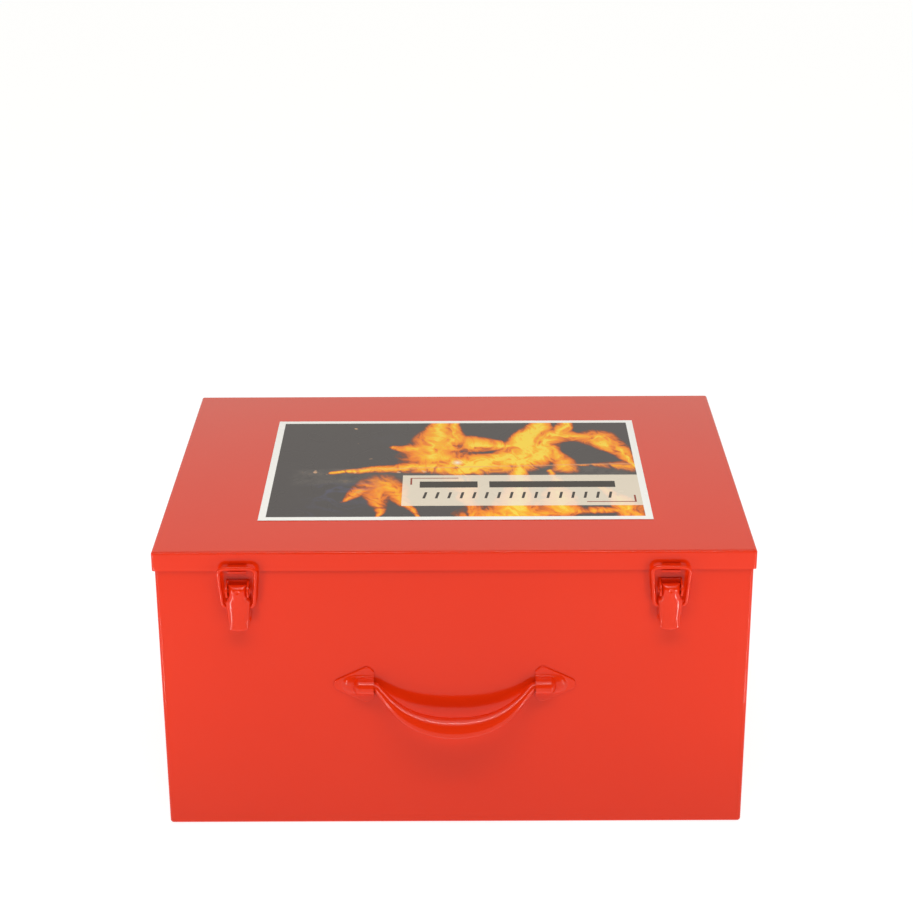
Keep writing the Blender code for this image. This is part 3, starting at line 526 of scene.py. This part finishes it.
# Hinge: two leaves of 1 mm steel rolled round one long pin, their knuckles taking turns along the
# barrel. The lid's leaf is welded to the lip and the body's leaf steps in to meet the wall.
def rolled_knuckles():
    """A tree that sets rolled knuckles along X, two pitches apart."""
    tree = bpy.data.node_groups.new("rolled_knuckles", "GeometryNodeTree")
    tree.interface.new_socket("Geometry", in_out="OUTPUT", socket_type="NodeSocketGeometry")
    tree.interface.new_socket("Count", in_out="INPUT", socket_type="NodeSocketInt")
    for name in ("Pitch", "First X", "Knuckle Length", "Roll Radius", "Sheet", "Roll Start", "Roll Sweep",
                 "Axis Y", "Axis Z"):
        tree.interface.new_socket(name, in_out="INPUT", socket_type="NodeSocketFloat")
    tree.interface.new_socket("Finish", in_out="INPUT", socket_type="NodeSocketMaterial")
    given = tree.nodes.new("NodeGroupInput")

    def step(kind, links, **settings):
        made = tree.nodes.new(kind)
        for key, value in settings.items():
            setattr(made, key, value)
        for key, source in links.items():
            if isinstance(source, bpy.types.NodeSocket):
                tree.links.new(source, made.inputs[key])
            else:
                made.inputs[key].default_value = source
        return made

    first = step("ShaderNodeCombineXYZ", {"X": given.outputs["First X"], "Y": given.outputs["Axis Y"],
                                          "Z": given.outputs["Axis Z"]})
    apart = step("ShaderNodeCombineXYZ", {"X": given.outputs["Pitch"]})
    line = step("GeometryNodeMeshLine", {"Count": given.outputs["Count"], "Start Location": first.outputs[0],
                                         "Offset": apart.outputs[0]})
    roll = step("GeometryNodeCurveArc", {"Resolution": 33, "Radius": given.outputs["Roll Radius"],
                                         "Start Angle": given.outputs["Roll Start"],
                                         "Sweep Angle": given.outputs["Roll Sweep"]})
    strip = step("GeometryNodeCurvePrimitiveQuadrilateral", {"Width": given.outputs["Sheet"],
                                                             "Height": given.outputs["Knuckle Length"]})
    swept = step("GeometryNodeCurveToMesh", {"Curve": roll.outputs[0], "Profile Curve": strip.outputs[0],
                                             "Fill Caps": True})
    upright = step("GeometryNodeTransform", {"Geometry": swept.outputs[0],
                                             "Rotation": (math.radians(90), 0, math.radians(90))})
    placed = step("GeometryNodeInstanceOnPoints", {"Points": line.outputs[0],
                                                   "Instance": upright.outputs[0]})
    real = step("GeometryNodeRealizeInstances", {"Geometry": placed.outputs[0]})
    painted = step("GeometryNodeSetMaterial", {"Geometry": real.outputs[0],
                                               "Material": given.outputs["Finish"]})
    result = tree.nodes.new("NodeGroupOutput")
    tree.links.new(painted.outputs[0], result.inputs[0])
    return tree


def run_tree(piece, tree, **values):
    """Give a tree's inputs their values, then turn its result into the piece's plain mesh."""
    modifier = piece.modifiers.new(tree.name, "NODES")
    modifier.node_group = tree
    for item in tree.interface.items_tree:
        key = item.name.replace(" ", "_")
        if key in values:
            modifier[item.identifier] = values[key]
    return settled(piece)


def extruded(name, outline, low, high, material, holes=()):
    """A flat outline of (y, z) points carried along X, with holes through it."""
    curve = bpy.data.curves.new(name, "CURVE")
    curve.dimensions = "2D"
    curve.fill_mode = "BOTH"
    curve.extrude = (high - low) / 2
    for loop in (outline, *holes):
        spline = curve.splines.new("POLY")
        spline.points.add(len(loop) - 1)
        for point, (a, b) in zip(spline.points, loop):
            point.co = (a, b, 0, 1)
        spline.use_cyclic_u = True
    source = bpy.data.objects.new(name + "_outline", curve)
    bpy.context.scene.collection.objects.link(source)
    graph = bpy.context.evaluated_depsgraph_get()
    mesh = bpy.data.meshes.new_from_object(source.evaluated_get(graph))
    bm = bmesh.new()
    bm.from_mesh(mesh)
    bpy.data.objects.remove(source, do_unlink=True)
    bmesh.ops.remove_doubles(bm, verts=bm.verts, dist=0.001)
    into_yz = Matrix(((0, 0, 1, (low + high) / 2), (1, 0, 0, 0), (0, 1, 0, 0), (0, 0, 0, 1)))
    bmesh.ops.transform(bm, matrix=into_yz, verts=bm.verts)
    return as_object(name, bm, material)


def plated_steel(name):
    """Bright zinc over steel, with the fine spangle and the dull bloom that it takes on."""
    zinc = Finish(name, Metallic=1.0)
    bloom = zinc.noise(45, 4)
    spangle = zinc.node("ShaderNodeTexVoronoi", {}, {"Vector": zinc.place, "Scale": 700.0}, "Color")[0]
    grain = zinc.node("ShaderNodeSeparateColor", {}, {0: spangle})[0]
    zinc.feed(Base_Color=zinc.mix(bloom, (0.60, 0.61, 0.62), (0.48, 0.49, 0.51)))
    zinc.feed(Roughness=0.26 + bloom * 0.12 + grain * 0.05)
    zinc.bumps(zinc.noise(600, 2), 0.00001)
    return zinc.material


def give(material, *nodes):
    """Set a CAD node's material."""
    for node in nodes:
        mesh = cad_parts[node].data
        mesh.materials.clear()
        mesh.materials.append(material)


leaf_sheet = 1.0
knuckle_pitch = 30.0
knuckle_play = 0.4
pin_low, pin_high = millimetres("hinge_pin")
hinge_y = (pin_low.y + pin_high.y) / 2
hinge_z = (pin_low.z + pin_high.z) / 2
barrel_radius = hinge_y - millimetres("lid_hinge_leaf")[0].y
knuckle_tree = rolled_knuckles()
wall_y = body_high.y
near_y = hinge_y - barrel_radius
far_y = near_y + leaf_sheet
weld_gap = 0.3
inset_y = wall_y + weld_gap
lid_foot, lid_top = 216.6, 224
body_foot, joggle_low, joggle_high, body_top = 196, 203, 207, 209.4
leaf_outlines = {
    "lid": [(near_y, lid_foot), (near_y, lid_top), (far_y, lid_top), (far_y, lid_foot)],
    "body": [(inset_y, body_foot), (inset_y, joggle_low), (near_y, joggle_high), (near_y, body_top),
             (far_y, body_top), (far_y, joggle_high), (inset_y + leaf_sheet, joggle_low),
             (inset_y + leaf_sheet, body_foot)],
}
tab_overlap = 0.2
tab_spans = {"lid": (hinge_z, lid_foot + tab_overlap), "body": (body_top - tab_overlap, hinge_z)}
knuckles_per_leaf = 7
roll_start = math.radians(180)
for body, first, roll_sweep in (("lid", 1, math.radians(300)), ("body", 0, math.radians(-300))):
    low, high = millimetres(body + "_hinge_leaf")
    strip = rounded(extruded(body + "_leaf_strip", leaf_outlines[body], low.x, high.x, enamel), 0.2, 2)
    blank = as_object(body + "_leaf_knuckles", bmesh.new(), enamel)
    knuckles = run_tree(blank, knuckle_tree, Count=knuckles_per_leaf, Pitch=2 * knuckle_pitch * MM,
                        First_X=(low.x + (first + 0.5) * knuckle_pitch) * MM,
                        Knuckle_Length=(knuckle_pitch - knuckle_play) * MM,
                        Roll_Radius=(barrel_radius - leaf_sheet / 2) * MM, Sheet=leaf_sheet * MM,
                        Roll_Start=roll_start, Roll_Sweep=roll_sweep,
                        Axis_Y=hinge_y * MM, Axis_Z=hinge_z * MM, Finish=enamel)
    # Short tabs of the same sheet join each knuckle to its leaf.
    tab_bm = bmesh.new()
    tab_low, tab_high = tab_spans[body]
    for index in range(knuckles_per_leaf):
        x = low.x + (first + 0.5 + 2 * index) * knuckle_pitch
        centre = Vector((x, near_y + leaf_sheet / 2, (tab_low + tab_high) / 2))
        size = Vector((knuckle_pitch - knuckle_play, leaf_sheet, tab_high - tab_low))
        bmesh.ops.create_cube(tab_bm, size=1, matrix=Matrix.LocRotScale(centre, None, size))
    tabs = settled(as_object(body + "_leaf_tabs", tab_bm, enamel))
    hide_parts(body + "_hinge_leaf")
    for piece in (strip, knuckles, tabs):
        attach(piece, body)

pin_steel = plated_steel("plated_pin_steel")
give(pin_steel, "hinge_pin")


# Latches: two over-centre draw latches. Each has a channel base with two ears, a lever pressed from
# 1.2 mm steel and crowned across its face, a bent wire bail and a J-shaped catch on the lid's lip.
def turn(centre, radius, start, end, steps):
    """Points along an arc, angles in degrees."""
    angles = [math.radians(start + (end - start) * i / steps) for i in range(steps + 1)]
    return [(centre[0] + radius * math.cos(a), centre[1] + radius * math.sin(a)) for a in angles]


def wall_view(points):
    """Points given as (distance out from the front wall, z), turned into (y, z)."""
    return [(body_low.y - out, z) for out, z in points]


def drum(name, x_low, x_high, y, z, radius):
    return extruded(name, turn((y, z), radius, 0, 354, 59), x_low, x_high, enamel)


def cut_away(piece, *cutters):
    """Take closed shapes out of a piece."""
    for cutter in cutters:
        hole = piece.modifiers.new(cutter.name, "BOOLEAN")
        hole.operation = "DIFFERENCE"
        hole.object = cutter
        hole.solver = "EXACT"
    settled(piece)
    for cutter in cutters:
        bpy.data.objects.remove(cutter, do_unlink=True)
    return piece


def lofted(name, rings, material):
    """A skin over rings of points, capped at both ends."""
    bm = bmesh.new()
    made = [[bm.verts.new(spot) for spot in ring] for ring in rings]
    for ring, following in zip(made, made[1:]):
        for i in range(len(ring)):
            j = (i + 1) % len(ring)
            bm.faces.new((ring[i], ring[j], following[j], following[i]))
    bm.faces.new(made[0])
    bm.faces.new(made[-1][::-1])
    return as_object(name, bm, material)


latch_sheet = 1.2
head_radius = 4.4
crown_depth = 3.4
crown_power = 2.1
foot_drop = 31.1
foot_round = 3.6
ear_radius = 5.2
ear_half = 8.3
# Below the pivot: (distance up from it, half width), then the face's and the back's distance from the wall.
lever_widths = ((-27.5, 7.4), (-9.8, 8.95), (-8.4, 8.7), (-6.0, 7.0), (-4.4, 6.6), (0, 6.6))
lever_face = ((-31.1, 11.3), (-25.5, 10.7), (-13.5, 9.7), (-4, 10.3), (0, 10.9))
lever_back = ((-31.1, 8.8), (-29.8, 8.5), (-19.5, 2.1))


def lever_rings(x, pivot_out, pivot_z, inset):
    """Rings of points from the lever's foot to its head, or with an inset the hollow behind its sheet."""
    radius = head_radius - inset
    low = inset - foot_drop
    steps = [math.radians(90 * (i + 0.35) / 12) for i in range(12)]
    drops = [low + foot_round * (1 - math.cos(a)) for a in steps]
    drops += list(np.linspace(low + foot_round, -0.02, 34)[1:])
    drops += [radius * math.sin(math.radians(89 * i / 16)) for i in range(17)]
    rings = []
    for drop in drops:
        half = np.interp(drop, *zip(*lever_widths)) - inset
        near_foot = max(0.0, (low + foot_round - drop) / foot_round)
        half *= (1 - near_foot ** 2.6) ** (1 / 2.6)
        if drop >= 0:
            reach = math.sqrt(radius ** 2 - drop ** 2)
            face = pivot_out + reach
            back = pivot_out - reach
        else:
            face = np.interp(drop, *zip(*lever_face)) - inset
            face -= (0 if inset else 1.3) * near_foot ** 3
            back = -0.3 if inset else np.interp(drop, *zip(*lever_back))
        crown = min(crown_depth, 0.55 * (face - back))
        ring = [(x + half, back)]
        for i in range(25):
            a = math.radians(180 * i / 24)
            across = math.copysign(abs(math.cos(a)) ** (2 / crown_power), math.cos(a))
            ring.append((x + half * across, face - crown * (1 - math.sin(a) ** (2 / crown_power))))
        ring.append((x - half, back))
        rings.append([(a, body_low.y - out, pivot_z + drop) for a, out in ring])
    return rings


def bent_wire(name, points, radius, material):
    """A closed loop of round wire."""
    curve = bpy.data.curves.new(name, "CURVE")
    curve.dimensions = "3D"
    curve.bevel_depth = radius * MM
    curve.bevel_resolution = 6
    spline = curve.splines.new("POLY")
    spline.points.add(len(points) - 1)
    for point, spot in zip(spline.points, points):
        point.co = (*(c * MM for c in spot), 1)
    spline.use_cyclic_u = True
    source = bpy.data.objects.new(name + "_path", curve)
    bpy.context.scene.collection.objects.link(source)
    graph = bpy.context.evaluated_depsgraph_get()
    mesh = bpy.data.meshes.new_from_object(source.evaluated_get(graph))
    bpy.data.objects.remove(source, do_unlink=True)
    mesh.shade_smooth()
    mesh.materials.clear()
    mesh.materials.append(material)
    made = bpy.data.objects.new(name, mesh)
    bpy.context.scene.collection.objects.link(made)
    return made


bail_foot = (4.6, 186.0)
bail_bar = (6.6, 217.3)
bail_wire = 1.5
bail_height = math.dist(bail_foot, bail_bar)
bail_lean = math.atan2(bail_bar[0] - bail_foot[0], bail_bar[1] - bail_foot[1])
bail_top_half, bail_foot_half = 13.5, 11.7
top_bend, foot_bend = 4.6, 3.4
bail_half = turn((bail_top_half - top_bend, bail_height - top_bend), top_bend, 90, 0, 14)
bail_half += turn((bail_foot_half - foot_bend, foot_bend), foot_bend, 0, -90, 12)
base_foot, base_waist, base_top = 176, 194.4, 206
channel_reach = 13
past = 1
ear_hole, lever_hole, foot_hole = 1.6, 1.7, 1.8
drill_half = 12
dish_radius, dish_out, dish_rise = 5.0, 4.4, 0.6
catch_back = lid_high.y - body_high.y + weld_gap
catch_front = catch_back + latch_sheet
catch_half = 6.85
catch_foot, catch_top = 211.9, 218.4
nose = catch_back + 2.6
nose_round = 1.2
nose_top, nose_sheet = 213.9, 0.9
for tag in ("left", "right"):
    pin_low, pin_high = millimetres("latch_pin_" + tag)
    x, y, pivot_z = (pin_low + pin_high) / 2
    pivot_out = body_low.y - y

    plate = weld_gap + latch_sheet
    outline = [(weld_gap, base_foot), (plate, base_foot), (plate, base_waist)]
    outline += turn((pivot_out, pivot_z), ear_radius, -90, 90, 24) + [(plate, base_top), (weld_gap, base_top)]
    base = extruded("latch_base_pressed_" + tag, wall_view(outline), x - ear_half, x + ear_half, enamel)
    inside = ear_half - latch_sheet
    outline = [(plate, base_foot - past), (channel_reach, base_foot - past),
               (channel_reach, base_top + past), (plate, base_top + past)]
    channel = extruded("channel_" + tag, wall_view(outline), x - inside, x + inside, enamel)
    drill = (x - drill_half, x + drill_half)
    rounded(cut_away(base, channel, drum("ear_hole_" + tag, *drill, y, pivot_z, ear_hole)), 0.25, 2)
    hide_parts("latch_base_" + tag)
    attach(base, "body")

    lever = lofted("lever_pressed_" + tag, lever_rings(x, pivot_out, pivot_z, 0), enamel)
    hollow = lofted("hollow_" + tag, lever_rings(x, pivot_out, pivot_z, latch_sheet), enamel)
    dish_bm = bmesh.new()
    dish_place = Matrix.Translation((x, y - head_radius - dish_out, pivot_z + dish_rise))
    bmesh.ops.create_uvsphere(dish_bm, u_segments=48, v_segments=32, radius=dish_radius, matrix=dish_place)
    dish = as_object("dish_" + tag, dish_bm, enamel)
    pin_drill = drum("lever_hole_" + tag, *drill, y, pivot_z, lever_hole)
    bail_drill = drum("bail_hole_" + tag, *drill, body_low.y - bail_foot[0], bail_foot[1], foot_hole)
    cut_away(lever, hollow, dish, pin_drill, bail_drill)
    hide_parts("latch_lever_" + tag)
    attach(lever, "lever_" + tag)

    loop = bail_half + [(-a, b) for a, b in reversed(bail_half)]
    path = []
    for a, b in loop:
        out = bail_foot[0] + b * math.sin(bail_lean)
        path.append((x + a, body_low.y - out, bail_foot[1] + b * math.cos(bail_lean)))
    bail = bent_wire("bail_wire_" + tag, path, bail_wire, enamel)
    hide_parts("latch_bail_" + tag)
    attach(bail, "bail_" + tag)

    outline = [(catch_back, catch_top), (catch_back, catch_foot)]
    outline += turn((nose - nose_round, catch_foot + nose_round), nose_round, -90, 0, 10)
    outline += [(nose, nose_top), (nose - nose_sheet, nose_top), (nose - nose_sheet - 0.25, nose_top - 0.6)]
    outline += [(catch_front, nose_top - 0.3), (catch_front, catch_top)]
    catch = extruded("catch_hook_" + tag, wall_view(outline), x - catch_half, x + catch_half, enamel)
    rounded(catch, 0.2, 2)
    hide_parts("catch_" + tag)
    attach(catch, "lid")

    give(enamel, "latch_pin_" + tag)


# Handle: one strip of 1.2 mm steel stamped into a long bow, its edges curled back so that it feels
# round in the hand. Its two ends are rolled into stubs that turn inside the brackets.
handle_sheet = 1.2
handle_pivot = (4.8, 119.5)
handle_drop = 30.75
grip_width = 15.7
grip_thickness = 7.6
stub_radius = 3.4
stub_end = 70.0
stub_bend = 5.0
bend_start = 60.6
arm_slope = math.radians(50)
arm_pull = 17
grip_pull = 33.0
stub_opening, grip_opening = 25, 65
handle_tilt = math.radians(-34.5)


def handle_line():
    """The centre line as (place, direction, swell), with a swell of 1 at the grip and 0 at a stub."""
    line = [(Vector((stub_end, 0)), Vector((-1, 0)), 0.0)]
    for i in range(11):
        a = arm_slope * i / 10
        line.append((Vector((bend_start - stub_bend * math.sin(a), stub_bend * (1 - math.cos(a)))),
                     Vector((-math.cos(a), math.sin(a))), 0.0))
    start, slope = line[-1][0], line[-1][1]
    points = (start, start + arm_pull * slope, Vector((grip_pull, handle_drop)), Vector((0, handle_drop)))
    for i in range(1, 41):
        t = i / 40
        near, mid, far = [points[k].lerp(points[k + 1], t) for k in range(3)]
        before, after = near.lerp(mid, t), mid.lerp(far, t)
        line.append((before.lerp(after, t), (after - before).normalized(), t * t * (3 - 2 * t)))
    mirrored = [(Vector((-p.x, p.y)), Vector((d.x, -d.y)), swell) for p, d, swell in reversed(line[:-1])]
    return line + mirrored


def curled(width, thickness, opening, steps=32):
    """A C-shaped section of sheet, its two raw edges rounded: (across, out) points."""
    angles = [math.radians(-180 + opening + (360 - 2 * opening) * i / steps) for i in range(steps + 1)]
    outer, inner = [
        [Vector(((width / 2 - depth) * math.sin(a), (thickness / 2 - depth) * math.cos(a))) for a in angles]
        for depth in (0, handle_sheet)]
    far_tip = outer[-1].lerp(inner[-1], 0.5) + 0.4 * (outer[-1] - outer[-2]).normalized()
    near_tip = outer[0].lerp(inner[0], 0.5) + 0.4 * (outer[0] - outer[1]).normalized()
    return outer + [far_tip] + inner[::-1] + [near_tip]


handle_axis = Vector((0, body_low.y - handle_pivot[0], handle_pivot[1]))
tilted = Matrix.Rotation(handle_tilt, 4, "X")
tilted = Matrix.Translation(handle_axis) @ tilted @ Matrix.Translation(-handle_axis)
handle_rings = []
for place, ahead, swell in handle_line():
    across = Vector((-ahead.y, ahead.x))
    width = 2 * stub_radius + (grip_width - 2 * stub_radius) * swell
    thickness = 2 * stub_radius + (grip_thickness - 2 * stub_radius) * swell
    ring = []
    for a, out in curled(width, thickness, stub_opening + (grip_opening - stub_opening) * swell):
        spot = place - across * a
        ring.append(tilted @ Vector((spot.x, body_low.y - handle_pivot[0] - out, handle_pivot[1] - spot.y)))
    handle_rings.append(ring)
handle = settled(lofted("handle_stamped", handle_rings, enamel), 55)
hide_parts("handle")
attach(handle, "handle")


# Handle brackets: two triangles of 1.2 mm steel, each stamped with a hollow boss for the handle's stub
# and a lower ramp that fades towards the tip. Every pressed corner has a small fillet.
def blended(first, second, reach):
    """The larger of two heights, with a fillet where they meet."""
    share = np.clip(0.5 + 0.5 * (first - second) / reach, 0, 1)
    return second + (first - second) * share + reach * share * (1 - share)


def boss_height(x, z, radius, far_end, depth, dome, start=0):
    """The height of a half-round boss lying along X, with a domed far end."""
    beyond = np.clip((x - (far_end - dome)) / dome, 0, 1)
    inside = 1 - (z / radius) ** 2 - beyond ** 2
    return depth * np.sqrt(np.clip(inside, 0, 1)) - 1.5 * np.clip(-inside, 0, 1)


bracket_inner = 59.9
bracket_tip = 90.0
bracket_half = 14.6
boss_radius, boss_end, boss_depth = 7.3, 76.0, 10.6
boss_dome, ramp_dome = 5, 9
ramp_radius, ramp_start, ramp_end, ramp_depth = 8.3, 64, 84.0, 4.4
shoulder_x, shoulder_round = 65.4, 4
tip_x, tip_round = 85, 5
inner_half = 10.75
fine_reach = 6
columns = np.concatenate([np.linspace(bracket_inner, bracket_tip - fine_reach, 90),
                          bracket_tip - fine_reach * np.cos(np.radians(np.linspace(3, 90, 26)))])
slope = math.degrees(math.atan2(bracket_half - tip_round, tip_x - shoulder_x))
upper_edge = [(bracket_inner, inner_half)]
upper_edge += turn((shoulder_x, bracket_half - shoulder_round), shoulder_round, 135, 90 - slope, 10)
upper_edge += turn((tip_x, 0), tip_round, 90 - slope, 0, 20)
edge_x, edge_half = zip(*upper_edge)
half_height = np.maximum(np.interp(columns, edge_x, edge_half), 0.02)
row_count = 121
rows = np.sin(np.radians(np.linspace(-90, 90, row_count))) * 0.35 + np.linspace(-1, 1, row_count) * 0.65
grid_x, share = np.meshgrid(columns, rows, indexing="ij")
grid_z = share * half_height[:, None]
rim = np.minimum((half_height[:, None] - np.abs(grid_z)) * 0.9, grid_x - bracket_inner + 0.25)
rim = np.minimum(rim, (bracket_tip - grid_x) * 1.2)
rim_round = 0.9
rounding = np.clip(rim / rim_round, 0, 1)
skin = weld_gap + handle_sheet - rim_round * (1 - np.sqrt(1 - (1 - rounding) ** 2))
boss = boss_height(grid_x, grid_z, boss_radius, boss_end, boss_depth, boss_dome)
ramp = boss_height(np.maximum(grid_x, ramp_start), grid_z, ramp_radius, ramp_end, ramp_depth, ramp_dome)
outer_skin = blended(blended(ramp, skin, 0.9), boss, 1.1)
boss_inside = boss_height(grid_x, grid_z, boss_radius - handle_sheet, boss_end - handle_sheet,
                          boss_depth - handle_sheet, boss_dome - handle_sheet)
inner_skin = np.maximum(boss_inside, weld_gap)
last, last_row = len(columns) - 1, row_count - 1
for tag, side in (("left", -1), ("right", 1)):
    bm = bmesh.new()
    layers = []
    for skin_height in (outer_skin, inner_skin):
        layers.append([[bm.verts.new((side * grid_x[i, j], body_low.y - skin_height[i, j],
                                      handle_pivot[1] + grid_z[i, j])) for j in range(row_count)]
                       for i in range(len(columns))])
    for layer in layers:
        for i in range(last):
            for j in range(last_row):
                bm.faces.new((layer[i][j], layer[i + 1][j], layer[i + 1][j + 1], layer[i][j + 1]))
    top, under = layers
    for i in range(last):
        for j in (0, last_row):
            bm.faces.new((top[i][j], top[i + 1][j], under[i + 1][j], under[i][j]))
    for j in range(last_row):
        for i in (0, last):
            bm.faces.new((top[i][j], top[i][j + 1], under[i][j + 1], under[i][j]))
    bracket = settled(as_object("bracket_stamped_" + tag, bm, enamel), 50)
    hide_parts("handle_bracket_" + tag)
    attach(bracket, "body")


# Lining: boards of pressed vermiculite, buff with gold and grey flakes, sawn to size and stood on the
# bottom board. A seventh part, a ring of white ceramic felt, closes the gap under the lid.
def fire_board():
    """Pressed vermiculite with flakes that show as small bright and dark chips."""
    board = Finish("pressed_vermiculite", Roughness=0.92, Specular_IOR_Level=0.25)
    chips = board.node("ShaderNodeTexVoronoi", {}, {"Vector": board.place, "Scale": 420.0}, "Color")[0]
    shade = board.node("ShaderNodeSeparateColor", {}, {0: chips})[0]
    patches = board.noise(30, 4)
    grains = board.noise(900, 3)
    buff = board.mix(patches, (0.50, 0.39, 0.25), (0.60, 0.49, 0.34))
    flaked = board.mix((shade > 0.80) * 0.8, buff, (0.72, 0.56, 0.28))
    greyed = board.mix((shade < 0.12) * 0.7, flaked, (0.25, 0.23, 0.20))
    board.feed(Base_Color=board.mix(grains * 0.35, greyed, (0.38, 0.30, 0.20)))
    board.feed(Roughness=0.95 - (shade > 0.80) * 0.25)
    board.bumps(grains * 0.5 + shade * 0.5, 0.00025)
    return board.material


vermiculite = fire_board()
board_round = 0.8
for node in ("liner_bottom", "liner_left", "liner_right", "liner_front", "liner_back", "liner_lid"):
    board_low, board_high = millimetres(node)
    bm = bmesh.new()
    bmesh.ops.create_cube(bm, size=1, matrix=Matrix.LocRotScale(
        (board_low + board_high) / 2, None, board_high - board_low))
    board = rounded(as_object("board_" + node.removeprefix("liner_"), bm, vermiculite), board_round)
    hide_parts(node)
    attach(board, "lid" if node == "liner_lid" else "body")

felt = Finish("ceramic_felt", Roughness=0.97, Specular_IOR_Level=0.1)
fibres = felt.noise(700, 5, felt.stretched(1, 1, 3), Roughness=0.7, Distortion=1.2)
tufts = felt.noise(60, 3)
felt.feed(Base_Color=felt.mix(fibres * 0.7 + tufts * 0.3, (0.66, 0.65, 0.62), (0.86, 0.85, 0.82)))
felt.bumps(fibres + tufts * 0.5, 0.0006)
seal_low, seal_high = millimetres("lid_seal")
seal_width = 11.2
seal_round = 1.4
seal_hole = (seal_high.x - seal_width, seal_high.y - seal_width)
seal_edge = (seal_high.x, seal_high.y)
seal = hem_ring("felt_seal", seal_hole, seal_edge, seal_low.z, seal_high.z, seal_round, felt.material)
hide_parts("lid_seal")
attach(seal, "lid")


# Lid stays: two slotted strips of zinc-plated steel. Each turns on a rivet in its bracket under the lid,
# and slides on a stud welded inside the body's wall.
stay_steel = plated_steel("zinc_plated_steel")
stay_edge = 0.2
stay_length, stay_half = 169, 7
rivet_hole = 2.3
slot_near, slot_far, slot_half = 50.3, 168.4, 2.8
for tag, side in (("left", -1), ("right", 1)):
    rivet_low, rivet_high = millimetres("stay_rivet_" + tag)
    stud_low, stud_high = millimetres("stay_stud_" + tag)
    stay_low, stay_high = millimetres("stay_" + tag)
    rivet = ((rivet_low + rivet_high) / 2).yz
    down = ((stud_low + stud_high) / 2).yz - rivet
    down.normalize()
    tilt = math.degrees(math.atan2(down.y, down.x))

    def pill(near, far, half):
        """A round-ended slot along the stay."""
        return (turn(rivet + down * near, half, tilt + 90, tilt + 270, 24)
                + turn(rivet + down * far, half, tilt - 90, tilt + 90, 24))

    holes = [turn(rivet, rivet_hole, 0, 350, 35), pill(slot_near, slot_far, slot_half)]
    strip = extruded("stay_strip_" + tag, pill(0, stay_length, stay_half), stay_low.x, stay_high.x,
                     stay_steel, holes)
    rounded(strip, stay_edge, 2)
    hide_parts("stay_" + tag)
    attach(strip, "stay_" + tag)
    for kind in ("stay_bracket_", "stay_rivet_", "stay_stud_"):
        give(stay_steel, kind + tag)

size = {"cad": [list(corner) for corner in cad_box], "visual": [list(corner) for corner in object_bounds()]}
